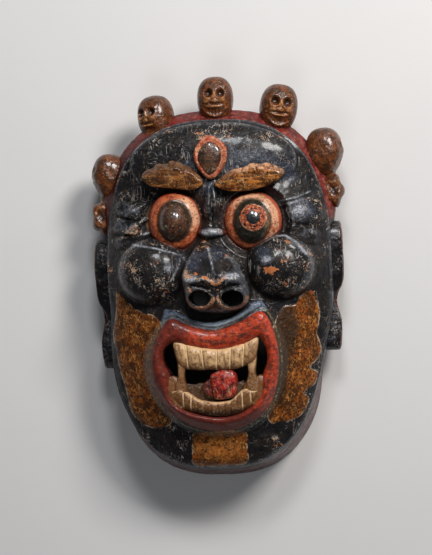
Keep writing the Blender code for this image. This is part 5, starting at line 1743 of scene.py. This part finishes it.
# %% [markdown]
# ## Floor, light and camera
#
# The mask lies on its back rim on a plain pale floor. A large soft lamp stands high on the right of
# the crown, so the shadows fall down to the left as they do in a studio, and a weak sky fills them.

# %% A pale floor
def floor_paint():
    f = Finish("floor_paper", (0.56, 0.55, 0.54), 0.8)
    f.lay(f.times(f.step(f.noise(90, 2.0), 0.3, 0.7), 0.3), (0.54, 0.53, 0.52))
    f.height = f.times(f.noise(0.8, 2.0), 0.03)
    return f.done(coat=0.0)


FLOOR_HALF = 6.0
corners = [(-FLOOR_HALF, -FLOOR_HALF, 0), (FLOOR_HALF, -FLOOR_HALF, 0), (FLOOR_HALF, FLOOR_HALF, 0),
           (-FLOOR_HALF, FLOOR_HALF, 0)]
floor_mesh = bpy.data.meshes.new("floor")
floor_mesh.from_pydata(corners, [], [(0, 1, 2, 3)])
floor_mesh.materials.append(floor_paint())
floor = bpy.data.objects.new("floor", floor_mesh)
bpy.context.scene.collection.objects.link(floor)


# %% Lamps
def lamp(name, place, aim, size, power, colour):
    """A square soft lamp that looks from one place to another."""
    light = bpy.data.lights.new(name, "AREA")
    light.size = size
    light.energy = power
    light.color = colour
    thing = bpy.data.objects.new(name, light)
    bpy.context.scene.collection.objects.link(thing)
    thing.location = place
    thing.rotation_euler = (Vector(aim) - Vector(place)).to_track_quat("-Z", "Y").to_euler()
    return thing


lamp("key_lamp", (0.85, 1.0, 1.35), (0, 0.02, 0.05), 0.5, 34, (1.0, 0.97, 0.94))
lamp("top_lamp", (0.1, 1.15, 1.35), (0, 0.02, 0.05), 0.35, 14, (0.95, 0.97, 1.0))
fill = lamp("fill_lamp", (-0.1, -0.7, 1.5), (0, -0.04, 0.08), 0.6, 4.5, (0.92, 0.96, 1.0))
fill.visible_glossy = False
world = bpy.data.worlds.new("studio")
world.use_nodes = True
world.node_tree.nodes["Background"].inputs["Color"].default_value = (0.8, 0.87, 1.0, 1)
world.node_tree.nodes["Background"].inputs["Strength"].default_value = 0.055
bpy.context.scene.world = world

# %% The camera, straight over the mask and a little to its right
YAW = np.radians(4.0)
ROLL = np.radians(2.0)
DISTANCE = 2.0
FOCAL_PIXELS = 2000.0
IMAGE_WIDTH = 432
LOOK_AT = Vector((-0.00272, 0.00102, 0.074))
away = Vector((np.sin(YAW), 0, np.cos(YAW)))
level = Vector((np.cos(YAW), 0, -np.sin(YAW)))
upright = Vector((0, 1, 0))
right = np.cos(ROLL) * level - np.sin(ROLL) * upright
up = np.sin(ROLL) * level + np.cos(ROLL) * upright
camera_data = bpy.data.cameras.new("camera")
camera_data.sensor_fit = "HORIZONTAL"
camera_data.sensor_width = 36
camera_data.lens = 36 * FOCAL_PIXELS / IMAGE_WIDTH
camera = bpy.data.objects.new("camera", camera_data)
bpy.context.scene.collection.objects.link(camera)
turn = Matrix((right, up, away)).transposed().to_4x4()
camera.matrix_world = Matrix.Translation(LOOK_AT + DISTANCE * away) @ turn
bpy.context.scene.camera = camera
bpy.context.scene.view_settings.view_transform = "Standard"
